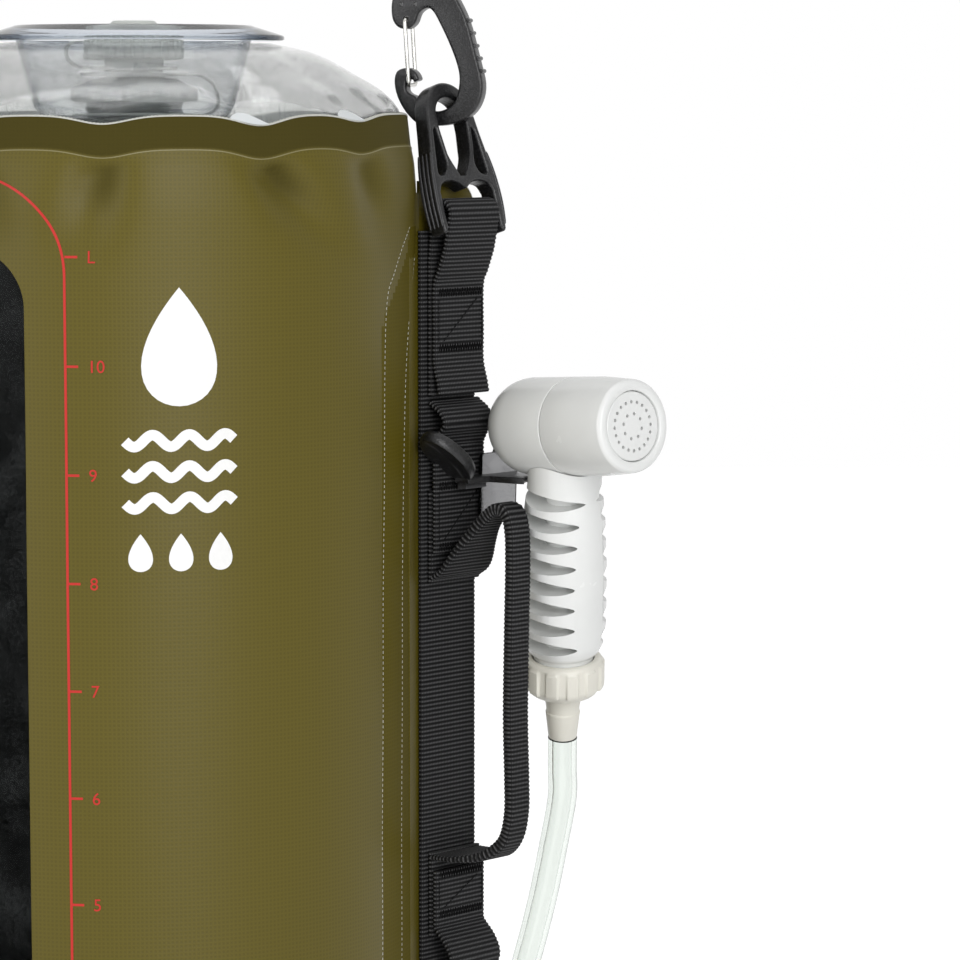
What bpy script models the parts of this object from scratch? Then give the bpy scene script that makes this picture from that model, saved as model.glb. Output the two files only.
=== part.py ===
"""Portable camp shower: a round coated-fabric water bag with a clear top, a filler well with a two-stage cap,
webbing, strap rings and carabiners on both sides, and a handset on a clear hose parked in a holder.

Metres, +Z up. The origin is the centre of the flat base, -Y is the printed front and +X is the handset side.
"""

import math

import bmesh
import bpy
from mathutils import Matrix, Vector

GAP = 0.0003

# Bag
BAG_RADIUS = 0.096
BAG_WALL = 0.0012
BAG_HEIGHT = 0.425
SHOULDER_HEIGHT = 0.395
MOUTH_RADIUS = 0.0934
RIM_WAVE = 0.0010
RIM_WAVES = 11
BASE_THICKNESS = 0.0014
BASE_TURN_UP = 0.009
BASE_LIP = 0.0010
FILM_THICKNESS = 0.0010
WELD_DEPTH = 0.012

# Level window, on the front and a little to the left
WINDOW_ANGLE = math.radians(-115.4)
WINDOW_HALF_WIDTH = 0.0185
WINDOW_BOTTOM = 0.030
WINDOW_TOP = 0.382
WINDOW_MARGIN = 0.010
WINDOW_SET_BACK = 0.0002
WINDOW_CUT_DEPTH = 0.06

# Filler well, collar, neck and caps
COLLAR_RADIUS = 0.0514
COLLAR_EDGE_HEIGHT = 0.4496
COLLAR_RIM_RADIUS = 0.0402
COLLAR_RIM_HEIGHT = 0.4543
WELL_FLOOR_RADIUS = 0.032
WELL_FLOOR_HEIGHT = 0.4225
WELL_WALL = 0.0016
NECK_OUTER = 0.0166
NECK_BORE = 0.0145
NECK_TOP = 0.4315
CAP_SKIRT_RADIUS = 0.0214
CAP_SKIRT_BOTTOM = 0.4290
CAP_SKIRT_TOP = 0.4335
CAP_RIBS = 20
SPOUT_RADIUS = 0.0100
SPOUT_BORE = 0.0072
SPOUT_TOP = 0.4500
SPOUT_CAP_RADIUS = 0.0166
SPOUT_CAP_BOTTOM = 0.4440
SPOUT_CAP_TOP = 0.4550
SPOUT_CAP_RIBS = 16
CAP_RIB_RADIUS = 0.0006

# Side webbing: u runs out from the bag along the webbing, n is its face normal, z is up
SIDE_ROOT = 0.0975
SIDE_TURN = math.radians(49.0)
FIN_INNER = -0.0010
FIN_OUTER = 0.0262
FIN_HALF = 0.0006
FIN_TOP = 0.4020
FIN_CORNER = 0.010
WEBBING_INNER = 0.0
WEBBING_WIDTH = 0.025
WEBBING = 0.0019
STRAP_FACE = 0.0009
STRAP_BOTTOM = 0.012
STRAP_TOP = 0.385
PLY_1 = STRAP_FACE + WEBBING + GAP + WEBBING / 2
PLY_2 = PLY_1 + WEBBING + GAP
WEBBING_MIDDLE = WEBBING_INNER + WEBBING_WIDTH / 2

# Strap ring
RING_PIVOT_N = 0.0096
RING_PIVOT_Z = 0.391
RING_LEAN = math.radians(17.0)
RING_DEPTH = 0.0070
RING_BAR_RADIUS = 0.0028
RING_ARCH_CENTRE = 0.0343
RING_ARCH_RADIUS = 0.0112
RING_EYE_RADIUS = 0.0068
RING_EYE_CENTRE = 0.0336
RING_SLOT_HALF = 0.0129
RING_EDGE = 0.0009
BAR_CLEARANCE = 0.0005

# Carabiner
CARABINER_HEADING = math.radians(-14.0)
CARABINER_DEPTH = 0.0062
GATE_PIVOT = (-0.0108, 0.0250)
GATE_FOOT = (-0.0096, 0.0024)
GATE_WIRE = 0.0007
GATE_HALF_SPREAD = 0.0042

# Handset holder's toggle
TOGGLE_CENTRE = (0.0004, -0.0128, 0.3085)
TOGGLE_TILT = math.radians(39.0)
TOGGLE_RADIUS = 0.0130
TOGGLE_THICKNESS = 0.0026
TOGGLE_SQUASH = 0.40

# Handset
NECK_POINT = Vector((0.1475, -0.0091, 0.319))
BARREL_HEADING = math.radians(-46.9)
BARREL_RISE = math.radians(3.9)
HANDLE_HEADING = math.radians(-87.7)
HANDLE_LEAN = math.radians(15.0)
FACE_REACH = 0.0346
BARREL_LENGTH = 0.066
BARREL_RADIUS = 0.0168
BARREL_WALL = 0.0020
SEAM_REACH = FACE_REACH - 0.0295
FACE_RIM_RADIUS = 0.0158
PLATE_RADIUS = 0.0117
PLATE_THICKNESS = 0.0020
OUTER_JETS = 20
OUTER_JET_CIRCLE = 0.0082
INNER_JETS = 8
INNER_JET_CIRCLE = 0.0042
JET_RADIUS = 0.00045
GRIP_CORE = 0.0065
GRIP_BORE = 0.0038
SLOT_COUNT = 8
SLOT_TOP = -0.0243
SLOT_PITCH = 0.0076
SLOT_HALF_LENGTH = 0.0130
SLOT_HALF_HEIGHT = 0.0026
THREAD_RADIUS = 0.0105
THREAD_END = -0.0940
NUT_TOP = -0.0850
NUT_BOTTOM = -0.0995
NUT_RADIUS = 0.0137
NUT_RIBS = 12
NUT_RIB_RADIUS = 0.0009
TAIL_END = -0.1160

# Outlet and tap, behind the bag
OUTLET_ANGLE = math.radians(112.0)
OUTLET_HEIGHT = 0.028
OUTLET_THREAD = 0.0080
OUTLET_BORE = 0.0050
OUTLET_SEAT = BAG_RADIUS - 0.0028
OUTLET_THREAD_LENGTH = 0.0105
OUTLET_WASHER = 0.0018
LOCKNUT_HEIGHT = 0.0050
TAP_BODY_RADIUS = 0.0095
TAP_AXIS_REACH = 0.1245
TAP_BARB_REACH = 0.034

# Hose: its route runs from the tap's barb round the back of the bag and up to the handset's tail
HOSE_RADIUS = 0.0052
HOSE_ROUTE = (
    (0.0100, 0.1355, 0.0262),
    (0.0240, 0.1366, 0.0215),
    (0.0400, 0.1350, 0.0150),
    (0.0560, 0.1295, 0.0100),
    (0.0715, 0.1205, 0.0086),
    (0.0855, 0.1090, 0.0125),
    (0.0975, 0.0960, 0.0230),
    (0.1070, 0.0835, 0.0390),
    (0.1150, 0.0720, 0.0590),
    (0.1220, 0.0625, 0.0810),
    (0.1285, 0.0545, 0.1035),
    (0.1345, 0.0470, 0.1260),
    (0.1390, 0.0410, 0.1450),
    (0.1425, 0.0352, 0.1630),
)


def clear_scene():
    for obj in list(bpy.data.objects):
        bpy.data.objects.remove(obj, do_unlink=True)


def collection(name):
    made = bpy.data.collections.new(name)
    bpy.context.scene.collection.children.link(made)
    return made


def material(name, colour, roughness, metallic=0.0, alpha=1.0):
    made = bpy.data.materials.new(name)
    made.use_nodes = True
    shader = made.node_tree.nodes["Principled BSDF"]
    shader.inputs["Base Color"].default_value = (*colour, 1.0)
    shader.inputs["Roughness"].default_value = roughness
    shader.inputs["Metallic"].default_value = metallic
    shader.inputs["Alpha"].default_value = alpha
    made.diffuse_color = (*colour, alpha)
    return made


clear_scene()
PARTS = collection("portable_shower")
CUTTERS = collection("cutters")

FABRIC = material("olive_coated_fabric", (0.114, 0.093, 0.027), 0.55)
CLEAR_FILM = material("clear_film", (0.80, 0.84, 0.84), 0.12, alpha=0.35)
CLEAR_MOULDING = material("clear_moulding", (0.72, 0.78, 0.82), 0.15, alpha=0.45)
CAP_PLASTIC = material("translucent_cap", (0.52, 0.54, 0.53), 0.35)
NECK_PLASTIC = material("grey_neck", (0.10, 0.11, 0.12), 0.40)
SEAL_RUBBER = material("seal_rubber", (0.03, 0.03, 0.03), 0.70)
WEBBING_BLACK = material("black_webbing", (0.015, 0.015, 0.016), 0.80)
ACETAL_BLACK = material("black_acetal", (0.012, 0.012, 0.014), 0.38)
STEEL_WIRE = material("steel_wire", (0.66, 0.64, 0.60), 0.25, metallic=1.0)
WHITE_PLASTIC = material("white_plastic", (0.76, 0.78, 0.79), 0.30)
IVORY_PLASTIC = material("ivory_plastic", (0.72, 0.68, 0.60), 0.38)
HOSE_CLEAR = material("clear_hose", (0.75, 0.78, 0.74), 0.12, alpha=0.45)
TONGUE_GREY = material("smoky_plastic", (0.18, 0.18, 0.19), 0.18)


def place(obj, parent=None, location=(0, 0, 0), rotation=(0, 0, 0)):
    obj.location = location
    obj.rotation_euler = rotation
    obj.parent = parent
    return obj


def empty(name, parent=None, matrix=None, scale=(1, 1, 1)):
    made = bpy.data.objects.new(name, None)
    made.empty_display_size = 0.01
    PARTS.objects.link(made)
    made.parent = parent
    if matrix is not None:
        made.matrix_local = matrix
    made.scale = scale
    return made


def as_cutter(obj):
    PARTS.objects.unlink(obj)
    CUTTERS.objects.link(obj)
    obj.hide_render = True
    obj.display_type = "WIRE"
    return obj


def add_mesh(name, mesh, finish):
    obj = bpy.data.objects.new(name, mesh)
    PARTS.objects.link(obj)
    if finish:
        mesh.materials.append(finish)
    return obj


def turned(name, profile, finish, steps=48, solid=False):
    """A (radius, height) profile spun round Z, down its outside; a solid one starts and ends on the axis."""
    mesh = bpy.data.meshes.new(name)
    edges = [(i, i + 1) for i in range(len(profile) - 1)]
    if not solid:
        edges.append((len(profile) - 1, 0))
    mesh.from_pydata([(radius, 0, height) for radius, height in profile], edges, [])
    obj = add_mesh(name, mesh, finish)
    spin = obj.modifiers.new("Spin", "SCREW")
    spin.steps = steps
    spin.render_steps = steps
    spin.use_merge_vertices = True
    spin.merge_threshold = 0.00001
    spin.use_normal_calculate = False
    spin.use_smooth_shade = True
    return obj


def bake(obj, join_within=0.000002):
    """Turn a curve or a modified mesh into a plain mesh object with the same name and place."""
    bpy.context.view_layer.update()
    graph = bpy.context.evaluated_depsgraph_get()
    mesh = bpy.data.meshes.new_from_object(obj.evaluated_get(graph))
    work = bmesh.new()
    work.from_mesh(mesh)
    bmesh.ops.remove_doubles(work, verts=work.verts, dist=join_within)
    bmesh.ops.recalc_face_normals(work, faces=work.faces)
    work.to_mesh(mesh)
    work.free()
    name, parent, place_at = obj.name, obj.parent, obj.matrix_local.copy()
    holder = obj.users_collection[0]
    bpy.data.objects.remove(obj, do_unlink=True)
    made = bpy.data.objects.new(name, mesh)
    holder.objects.link(made)
    made.parent = parent
    made.matrix_local = place_at
    return made


def combine(obj, other, operation):
    """Cut, join or intersect obj with another object, which then becomes a helper."""
    as_cutter(other)
    change = obj.modifiers.new(other.name, "BOOLEAN")
    change.operation = operation
    change.object = other
    change.solver = "EXACT"
    return obj


def cut(obj, *cutters):
    for cutter in cutters:
        combine(obj, cutter, "DIFFERENCE")
    return obj


def join(obj, *others):
    for other in others:
        combine(obj, other, "UNION")
    return obj


def box(name, low, high, finish=None):
    mesh = bpy.data.meshes.new(name)
    work = bmesh.new()
    bmesh.ops.create_cube(work, size=1.0)
    size = Vector(high) - Vector(low)
    middle = (Vector(high) + Vector(low)) / 2
    bmesh.ops.scale(work, vec=size, verts=work.verts)
    bmesh.ops.translate(work, vec=middle, verts=work.verts)
    work.to_mesh(mesh)
    work.free()
    return add_mesh(name, mesh, finish)


def rod(name, radius, length, finish=None, sides=24, radius_end=None):
    """A cylinder or cone centred on its own origin, along Z."""
    mesh = bpy.data.meshes.new(name)
    work = bmesh.new()
    end = radius if radius_end is None else radius_end
    bmesh.ops.create_cone(
        work, cap_ends=True, segments=sides, radius1=radius, radius2=end, depth=length
    )
    work.to_mesh(mesh)
    work.free()
    return add_mesh(name, mesh, finish)


def smooth_path(points, per_span):
    """Points on a Catmull-Rom curve through the given points."""
    points = [Vector(point) for point in points]
    padded = [2 * points[0] - points[1], *points, 2 * points[-1] - points[-2]]
    path = []
    for i in range(len(points) - 1):
        a, b, c, d = padded[i : i + 4]
        for step in range(per_span):
            t = step / per_span
            bend = (2 * a - 5 * b + 4 * c - d) * t**2 + (3 * b - a - 3 * c + d) * t**3
            path.append(0.5 * (2 * b + (c - a) * t + bend))
    path.append(points[-1])
    return path


def flat_shape(name, outlines, thickness, finish, edge=0.0):
    """2D outlines, later ones holes, filled and extruded half the thickness each way along the local Z."""
    curve = bpy.data.curves.new(name, "CURVE")
    curve.dimensions = "2D"
    curve.fill_mode = "BOTH"
    curve.extrude = thickness / 2 - edge
    curve.bevel_depth = edge
    curve.bevel_resolution = 0
    curve.offset = -edge
    for outline in outlines:
        spline = curve.splines.new("POLY")
        spline.points.add(len(outline) - 1)
        for point, (x, y) in zip(spline.points, outline):
            point.co = (x, y, 0, 1)
        spline.use_cyclic_u = True
    obj = bpy.data.objects.new(name, curve)
    PARTS.objects.link(obj)
    if finish:
        curve.materials.append(finish)
    return obj


def tube(name, points, radius, finish, resolution=2):
    curve = bpy.data.curves.new(name, "CURVE")
    curve.dimensions = "3D"
    curve.bevel_depth = radius
    curve.bevel_resolution = resolution
    curve.use_fill_caps = True
    spline = curve.splines.new("POLY")
    spline.points.add(len(points) - 1)
    for point, place_at in zip(spline.points, points):
        point.co = (*place_at, 1)
    obj = bpy.data.objects.new(name, curve)
    PARTS.objects.link(obj)
    curve.materials.append(finish)
    return obj


def arc(centre, radius, start, end, count):
    """Points on an arc, angles in degrees, both ends included."""
    return [
        (
            centre[0] + radius * math.cos(math.radians(start + (end - start) * i / (count - 1))),
            centre[1] + radius * math.sin(math.radians(start + (end - start) * i / (count - 1))),
        )
        for i in range(count)
    ]


def band_outline(path, thickness):
    """The closed outline of a band of even thickness along a 2D centreline."""
    path = [Vector((point[0], point[1])) for point in path]
    sides = ([], [])
    for i, point in enumerate(path):
        before = path[max(i - 1, 0)]
        after = path[min(i + 1, len(path) - 1)]
        along = (after - before).normalized()
        across = Vector((-along.y, along.x)) * thickness / 2
        sides[0].append(tuple(point + across))
        sides[1].append(tuple(point - across))
    return sides[0] + sides[1][::-1]


# Bag


def tube_radius(height):
    """The bag's outer radius, drawn in a little above the shoulder."""
    if height <= SHOULDER_HEIGHT:
        return BAG_RADIUS
    share = (height - SHOULDER_HEIGHT) / (BAG_HEIGHT - SHOULDER_HEIGHT)
    return BAG_RADIUS - (BAG_RADIUS - MOUTH_RADIUS) * share**1.4


def build_bag_tube():
    heights = [BAG_HEIGHT, 0.4165, 0.4075, SHOULDER_HEIGHT, 0.0]
    outer = [(tube_radius(height), height) for height in heights]
    inner = [(radius - BAG_WALL, height) for radius, height in outer[::-1]]
    bag = turned("bag_tube", outer + inner, FABRIC, steps=48)
    bag = bake(bag)
    for vertex in bag.data.vertices:
        if vertex.co.z > BAG_HEIGHT - 0.0001:
            from_front = math.atan2(vertex.co.x, -vertex.co.y)
            vertex.co.z -= RIM_WAVE * math.cos(RIM_WAVES * from_front)
    window = flat_shape("window_cutter", [window_outline(0.0)], WINDOW_CUT_DEPTH, None)
    place(window, None, window_centre(BAG_RADIUS), (math.radians(90), 0, WINDOW_ANGLE + math.radians(90)))
    outlet = rod("outlet_cutter", OUTLET_THREAD + 2 * GAP, 0.02, sides=16)
    place_on_outlet(outlet, BAG_RADIUS)
    return cut(bag, bake(window), outlet)


def window_centre(radius):
    return (radius * math.cos(WINDOW_ANGLE), radius * math.sin(WINDOW_ANGLE), 0)


def window_outline(inset):
    """A tall slot with round ends, drawn as (across, height)."""
    half = WINDOW_HALF_WIDTH - inset
    top = arc((0, WINDOW_TOP - WINDOW_HALF_WIDTH), half, 0, 180, 9)
    bottom = arc((0, WINDOW_BOTTOM + WINDOW_HALF_WIDTH), half, 180, 360, 9)
    return top + bottom


def build_window_film():
    """A strip of clear film bent to the bag's curve and set inside the window's edge."""
    inner, outer = BAG_RADIUS - BAG_WALL, BAG_RADIUS - WINDOW_SET_BACK
    low, high = WINDOW_BOTTOM - WINDOW_MARGIN, WINDOW_TOP + WINDOW_MARGIN
    film = turned("window_film", [(outer, high), (outer, low), (inner, low), (inner, high)], CLEAR_FILM, steps=90)
    keep = flat_shape("window_film_outline", [window_outline(GAP)], WINDOW_CUT_DEPTH, None)
    place(keep, None, window_centre(BAG_RADIUS), (math.radians(90), 0, WINDOW_ANGLE + math.radians(90)))
    return combine(film, bake(keep), "INTERSECT")


def build_bag_base():
    """A flat round panel whose edge turns up inside the tube."""
    outer = BAG_RADIUS - BAG_WALL - GAP
    inner = outer - BASE_LIP
    profile = [(0, BASE_THICKNESS), (inner, BASE_THICKNESS), (inner, BASE_TURN_UP)]
    profile += [(outer, BASE_TURN_UP), (outer, 0.0), (0, 0.0)]
    return turned("bag_base", profile, FABRIC, steps=48, solid=True)


FILM_DOME = (
    (0.0470, 0.4487),
    (0.0620, 0.4452),
    (0.0752, 0.4383),
    (0.0843, 0.4335),
    (0.0895, 0.4288),
)


def build_top_film():
    """The clear dome, whose edge turns down and is welded inside the bag's mouth."""
    low = BAG_HEIGHT - WELD_DEPTH
    edge = tube_radius(BAG_HEIGHT) - BAG_WALL - GAP
    outer = [*FILM_DOME, (edge, 0.4245), (edge, low)]
    inner = [(radius - FILM_THICKNESS, height) for radius, height in outer[-2:]]
    inner = [inner[1], inner[0]]
    under = [(radius - 0.0004, height - FILM_THICKNESS) for radius, height in FILM_DOME[::-1]]
    return turned("top_film", outer + inner + under, CLEAR_FILM, steps=40)


# Filler


def build_filler_well():
    outer_floor = WELL_FLOOR_HEIGHT - WELL_WALL
    profile = [
        (COLLAR_RIM_RADIUS - 0.0006, COLLAR_RIM_HEIGHT + 0.0006),
        (COLLAR_RIM_RADIUS + 0.0010, COLLAR_RIM_HEIGHT),
        (COLLAR_RADIUS, COLLAR_EDGE_HEIGHT + 0.0016),
        (COLLAR_RADIUS, COLLAR_EDGE_HEIGHT),
        (COLLAR_RIM_RADIUS, 0.4505),
        (WELL_FLOOR_RADIUS + 0.0024, 0.4280),
        (WELL_FLOOR_RADIUS - 0.0015, outer_floor),
        (NECK_OUTER + 0.0004, outer_floor),
        (NECK_OUTER + 0.0004, WELL_FLOOR_HEIGHT),
        (WELL_FLOOR_RADIUS - 0.0035, WELL_FLOOR_HEIGHT),
        (WELL_FLOOR_RADIUS - 0.0008, WELL_FLOOR_HEIGHT + 0.0012),
        (WELL_FLOOR_RADIUS + 0.0010, 0.4285),
        (0.0386, 0.4525),
    ]
    return turned("filler_well", profile, CLEAR_MOULDING, steps=32)


def build_filler_neck():
    under = WELL_FLOOR_HEIGHT - WELL_WALL - GAP
    profile = [
        (NECK_OUTER - 0.0008, NECK_TOP),
        (NECK_OUTER, NECK_TOP - 0.0008),
        (NECK_OUTER, under),
        (0.0225, under),
        (0.0225, under - 0.0014),
        (NECK_BORE, under - 0.0014),
        (NECK_BORE, NECK_TOP),
    ]
    return turned("filler_neck", profile, NECK_PLASTIC, steps=28)


def build_filler_gasket():
    base = NECK_TOP + GAP
    return turned(
        "filler_gasket",
        [(0.0160, base + 0.0007), (0.0160, base), (0.0138, base), (0.0138, base + 0.0007)],
        SEAL_RUBBER,
        steps=24,
    )


def ribs(name, count, radius, rib_radius, low, high, finish):
    """Upright ribs round a cap or a nut, as one helper object of separate round bars."""
    mesh = bpy.data.meshes.new(name)
    work = bmesh.new()
    for i in range(count):
        angle = 2 * math.pi * i / count
        made = bmesh.ops.create_cone(
            work, cap_ends=True, segments=4, radius1=rib_radius, radius2=rib_radius, depth=high - low
        )
        at = (radius * math.cos(angle), radius * math.sin(angle), (low + high) / 2)
        bmesh.ops.rotate(work, verts=made["verts"], matrix=Matrix.Rotation(angle, 3, "Z"))
        bmesh.ops.translate(work, verts=made["verts"], vec=at)
    work.to_mesh(mesh)
    work.free()
    return add_mesh(name, mesh, finish)


def build_filler_cap():
    top_inside = NECK_TOP + 0.0013
    profile = [
        (SPOUT_RADIUS - 0.0006, SPOUT_TOP),
        (SPOUT_RADIUS, SPOUT_TOP - 0.0008),
        (SPOUT_RADIUS, 0.4372),
        (0.0150, 0.4366),
        (0.0180, 0.4348),
        (CAP_SKIRT_RADIUS - 0.0010, CAP_SKIRT_TOP + 0.0005),
        (CAP_SKIRT_RADIUS, CAP_SKIRT_TOP - 0.0005),
        (CAP_SKIRT_RADIUS, CAP_SKIRT_BOTTOM),
        (0.0178, CAP_SKIRT_BOTTOM),
        (0.0178, top_inside),
        (SPOUT_BORE, top_inside),
        (SPOUT_BORE, SPOUT_TOP),
    ]
    cap = turned("filler_cap", profile, CAP_PLASTIC, steps=28)
    low, high = CAP_SKIRT_BOTTOM + 0.0005, CAP_SKIRT_TOP - 0.0006
    grip = ribs("filler_cap_ribs", CAP_RIBS, CAP_SKIRT_RADIUS, CAP_RIB_RADIUS, low, high, CAP_PLASTIC)
    return join(cap, grip)


def build_spout_cap():
    inside = SPOUT_TOP + 0.0016
    profile = [
        (0, 0.4563),
        (0.0070, 0.4563),
        (0.0078, 0.4556),
        (0.0082, SPOUT_CAP_TOP),
        (SPOUT_CAP_RADIUS - 0.0018, SPOUT_CAP_TOP),
        (SPOUT_CAP_RADIUS - 0.0004, SPOUT_CAP_TOP - 0.0010),
        (SPOUT_CAP_RADIUS, SPOUT_CAP_TOP - 0.0026),
        (SPOUT_CAP_RADIUS, SPOUT_CAP_BOTTOM + 0.0004),
        (SPOUT_CAP_RADIUS - 0.0004, SPOUT_CAP_BOTTOM),
        (0.0108, SPOUT_CAP_BOTTOM),
        (0.0108, inside),
        (0, inside),
    ]
    cap = turned("spout_cap", profile, CAP_PLASTIC, steps=24, solid=True)
    low, high = SPOUT_CAP_BOTTOM + 0.0008, SPOUT_CAP_TOP - 0.0022
    grip = ribs("spout_cap_ribs", SPOUT_CAP_RIBS, SPOUT_CAP_RADIUS, CAP_RIB_RADIUS, low, high, CAP_PLASTIC)
    return join(cap, grip)


def build_spout_gasket():
    base = SPOUT_TOP + GAP
    return turned(
        "spout_gasket",
        [(0.0100, base + 0.0009), (0.0100, base), (0.0060, base), (0.0060, base + 0.0009)],
        SEAL_RUBBER,
        steps=20,
    )


def ring_with_strap(name, inner, outer, low, high, strap_path, half_width, finish):
    """A flat ring with a soft strap that leaves its edge: the strap follows (radius, height) points."""
    ring = turned(name, [(outer, high), (outer, low), (inner, low), (inner, high)], finish, steps=24)
    path = smooth_path(strap_path, 2)
    strap = flat_shape(name + "_strap", [band_outline(path, 0.0010)], 2 * half_width, finish)
    return ring, bake(place(strap, None, (0, 0, 0), (math.radians(90), 0, 0)))


def build_cap_tether():
    """A ring round the filler neck and a strap that bulges out and up to the big cap's shoulder."""
    path = [(0.0200, 0.4252), (0.0245, 0.4255), (0.0285, 0.4285)]
    path += [(0.0272, 0.4345), (0.0226, 0.4378), (0.0175, 0.4382)]
    ring, strap = ring_with_strap("cap_tether", 0.0170, 0.0212, 0.4245, 0.4258, path, 0.0022, CAP_PLASTIC)
    collar = [(0.0182, 0.4390), (0.0182, 0.4376), (0.0104, 0.4376), (0.0104, 0.4390)]
    shoulder = turned("cap_tether_collar", collar, None, steps=24)
    return join(ring, strap, shoulder)


def build_spout_tether():
    """A ring round the spout and a strap to a lug beside the small cap, opposite the other tether."""
    path = [(-0.0140, 0.4407), (-0.0190, 0.4412), (-0.0226, 0.4440)]
    path += [(-0.0232, 0.4485), (-0.0205, 0.4512), (-0.0176, 0.4510)]
    ring, strap = ring_with_strap("spout_tether", 0.0104, 0.0148, 0.4400, 0.4413, path, 0.0020, CAP_PLASTIC)
    return join(ring, strap)


# Side webbing, the same on both sides of the bag


def side_frames():
    """For each side, an empty whose local X is u, whose local -Y is n and whose Z is up."""
    frames = {}
    for side, mirror in (("right", 1), ("left", -1)):
        half = empty("half_" + side, scale=(mirror, 1, 1))
        turn = Matrix.Translation((SIDE_ROOT, 0, 0)) @ Matrix.Rotation(SIDE_TURN, 4, "Z")
        frames[side] = empty("webbing_frame_" + side, half, turn)
    return frames


BAND_TURN = (math.radians(90), 0, math.radians(-90))
FACE_TURN = (math.radians(90), 0, 0)


def band(name, outlines, parent, finish=WEBBING_BLACK, middle=WEBBING_MIDDLE, width=WEBBING_WIDTH):
    """Webbing as an (n, z) outline, extruded across its width."""
    made = flat_shape(name, outlines, width, finish)
    return bake(place(made, parent, (middle, 0, 0), BAND_TURN))


def build_side_flange(side, parent):
    corner = arc((FIN_OUTER - FIN_CORNER, FIN_TOP - FIN_CORNER), FIN_CORNER, 0, 90, 7)
    outline = [(FIN_INNER, 0.0), (FIN_OUTER, 0.0), *corner, (FIN_INNER, FIN_TOP)]
    fin = flat_shape("side_flange_" + side, [outline], 2 * FIN_HALF, FABRIC)
    return bake(place(fin, parent, (0, 0, 0), FACE_TURN))


def build_side_strap(side, parent):
    back, front = STRAP_FACE, STRAP_FACE + WEBBING
    outline = [(back, STRAP_BOTTOM), (front, STRAP_BOTTOM), (front, STRAP_TOP), (back, STRAP_TOP)]
    return band("side_strap_" + side, [outline], parent)


def build_ring_loop(side, parent):
    """The closed loop that holds the strap ring's bar, both plies sewn together below it."""
    centre = (RING_PIVOT_N, RING_PIVOT_Z)
    hole = RING_BAR_RADIUS + BAR_CLEARANCE
    back = PLY_1 - WEBBING / 2
    front = PLY_2 + WEBBING / 2
    outer = arc(centre, hole + WEBBING, 180, -8, 13)
    outer += [(0.0132, 0.3820), (0.0104, 0.3725), (front, 0.3660), (front, 0.3400)]
    outer += [(front + 0.0016, 0.3345), (front + 0.0030, 0.3290), (front + 0.0016, 0.3280)]
    outer += [(back, 0.3280), (back, 0.3700), (0.0037, 0.3800)]
    inner = arc(centre, hole, 180, -5, 11)
    inner += [(0.0116, 0.3815), (0.0082, 0.3735), (PLY_1 + WEBBING / 2, 0.3690), (0.0054, 0.3780)]
    return band("ring_loop_" + side, [outer, inner], parent)


def build_mid_loop(side, parent, lift):
    """A band sewn down at both ends; lift raises its lower end over the handle's."""
    low = PLY_1 + lift
    bulge = [(PLY_1, 0.3266), (PLY_1 + 0.0010, 0.3256), (0.0088, 0.3232)]
    bulge += [(0.0110, 0.3192), (0.0084, 0.3156), (low, 0.3118)]
    path = smooth_path(bulge, 3)
    path += [Vector((low, 0.3040)), Vector((low, 0.2745))]
    name = "holder_loop" if side == "right" else "mid_loop_left"
    return band(name, [band_outline(path, WEBBING)], parent)


def build_lower_loop(side, parent, lift):
    """The same low on the strap; here lift raises the upper end."""
    high = PLY_1 + lift
    bulge = [(high, 0.1445), (high + 0.0008, 0.1425), (0.0120, 0.1375)]
    bulge += [(0.0142, 0.1315), (0.0100, 0.1240), (PLY_1, 0.1170)]
    path = [Vector((high, 0.1635)), Vector((high, 0.1500)), *smooth_path(bulge, 3)]
    path += [Vector((PLY_1, 0.1100)), Vector((PLY_1, 0.0930))]
    return band("lower_loop_" + side, [band_outline(path, WEBBING)], parent)


# The handle's centreline as (n, z), from its upper sewn end to its lower one
HANDLE_THICKNESS = 0.0044
HANDLE_WIDTH = 0.0100
HANDLE_EDGE = 0.0010
HANDLE_TABS = (("handle_tab_top", 0.2635, 0.2960), ("handle_tab_bottom", 0.1400, 0.1700))
HANDLE_PATH = (
    (0.0046, 0.2655),
    (0.0095, 0.2690),
    (0.0148, 0.2775),
    (0.0210, 0.2860),
    (0.0270, 0.2905),
    (0.0317, 0.2895),
    (0.0338, 0.2835),
    (0.0342, 0.2720),
    (0.0337, 0.2500),
    (0.0332, 0.2200),
    (0.0338, 0.1980),
    (0.0337, 0.1860),
    (0.0310, 0.1765),
    (0.0240, 0.1706),
    (0.0150, 0.1685),
    (0.0046, 0.1680),
)


def build_carry_handle(parent):
    """Webbing folded lengthwise into a grip, flat again where its ends are sewn under the loops."""
    outline = band_outline(smooth_path(HANDLE_PATH, 2), HANDLE_THICKNESS)
    grip = flat_shape("carry_handle", [outline], HANDLE_WIDTH, WEBBING_BLACK, edge=HANDLE_EDGE)
    grip = bake(place(grip, parent, (WEBBING_MIDDLE, 0, 0), BAND_TURN))
    back, front = PLY_1 - WEBBING / 2, PLY_1 + WEBBING / 2
    tabs = []
    for name, low, high in HANDLE_TABS:
        tab = band(name, [[(back, low), (front, low), (front, high), (back, high)]], parent)
        tabs.append(tab)
    return join(grip, *tabs)


# Strap ring and carabiner


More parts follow.
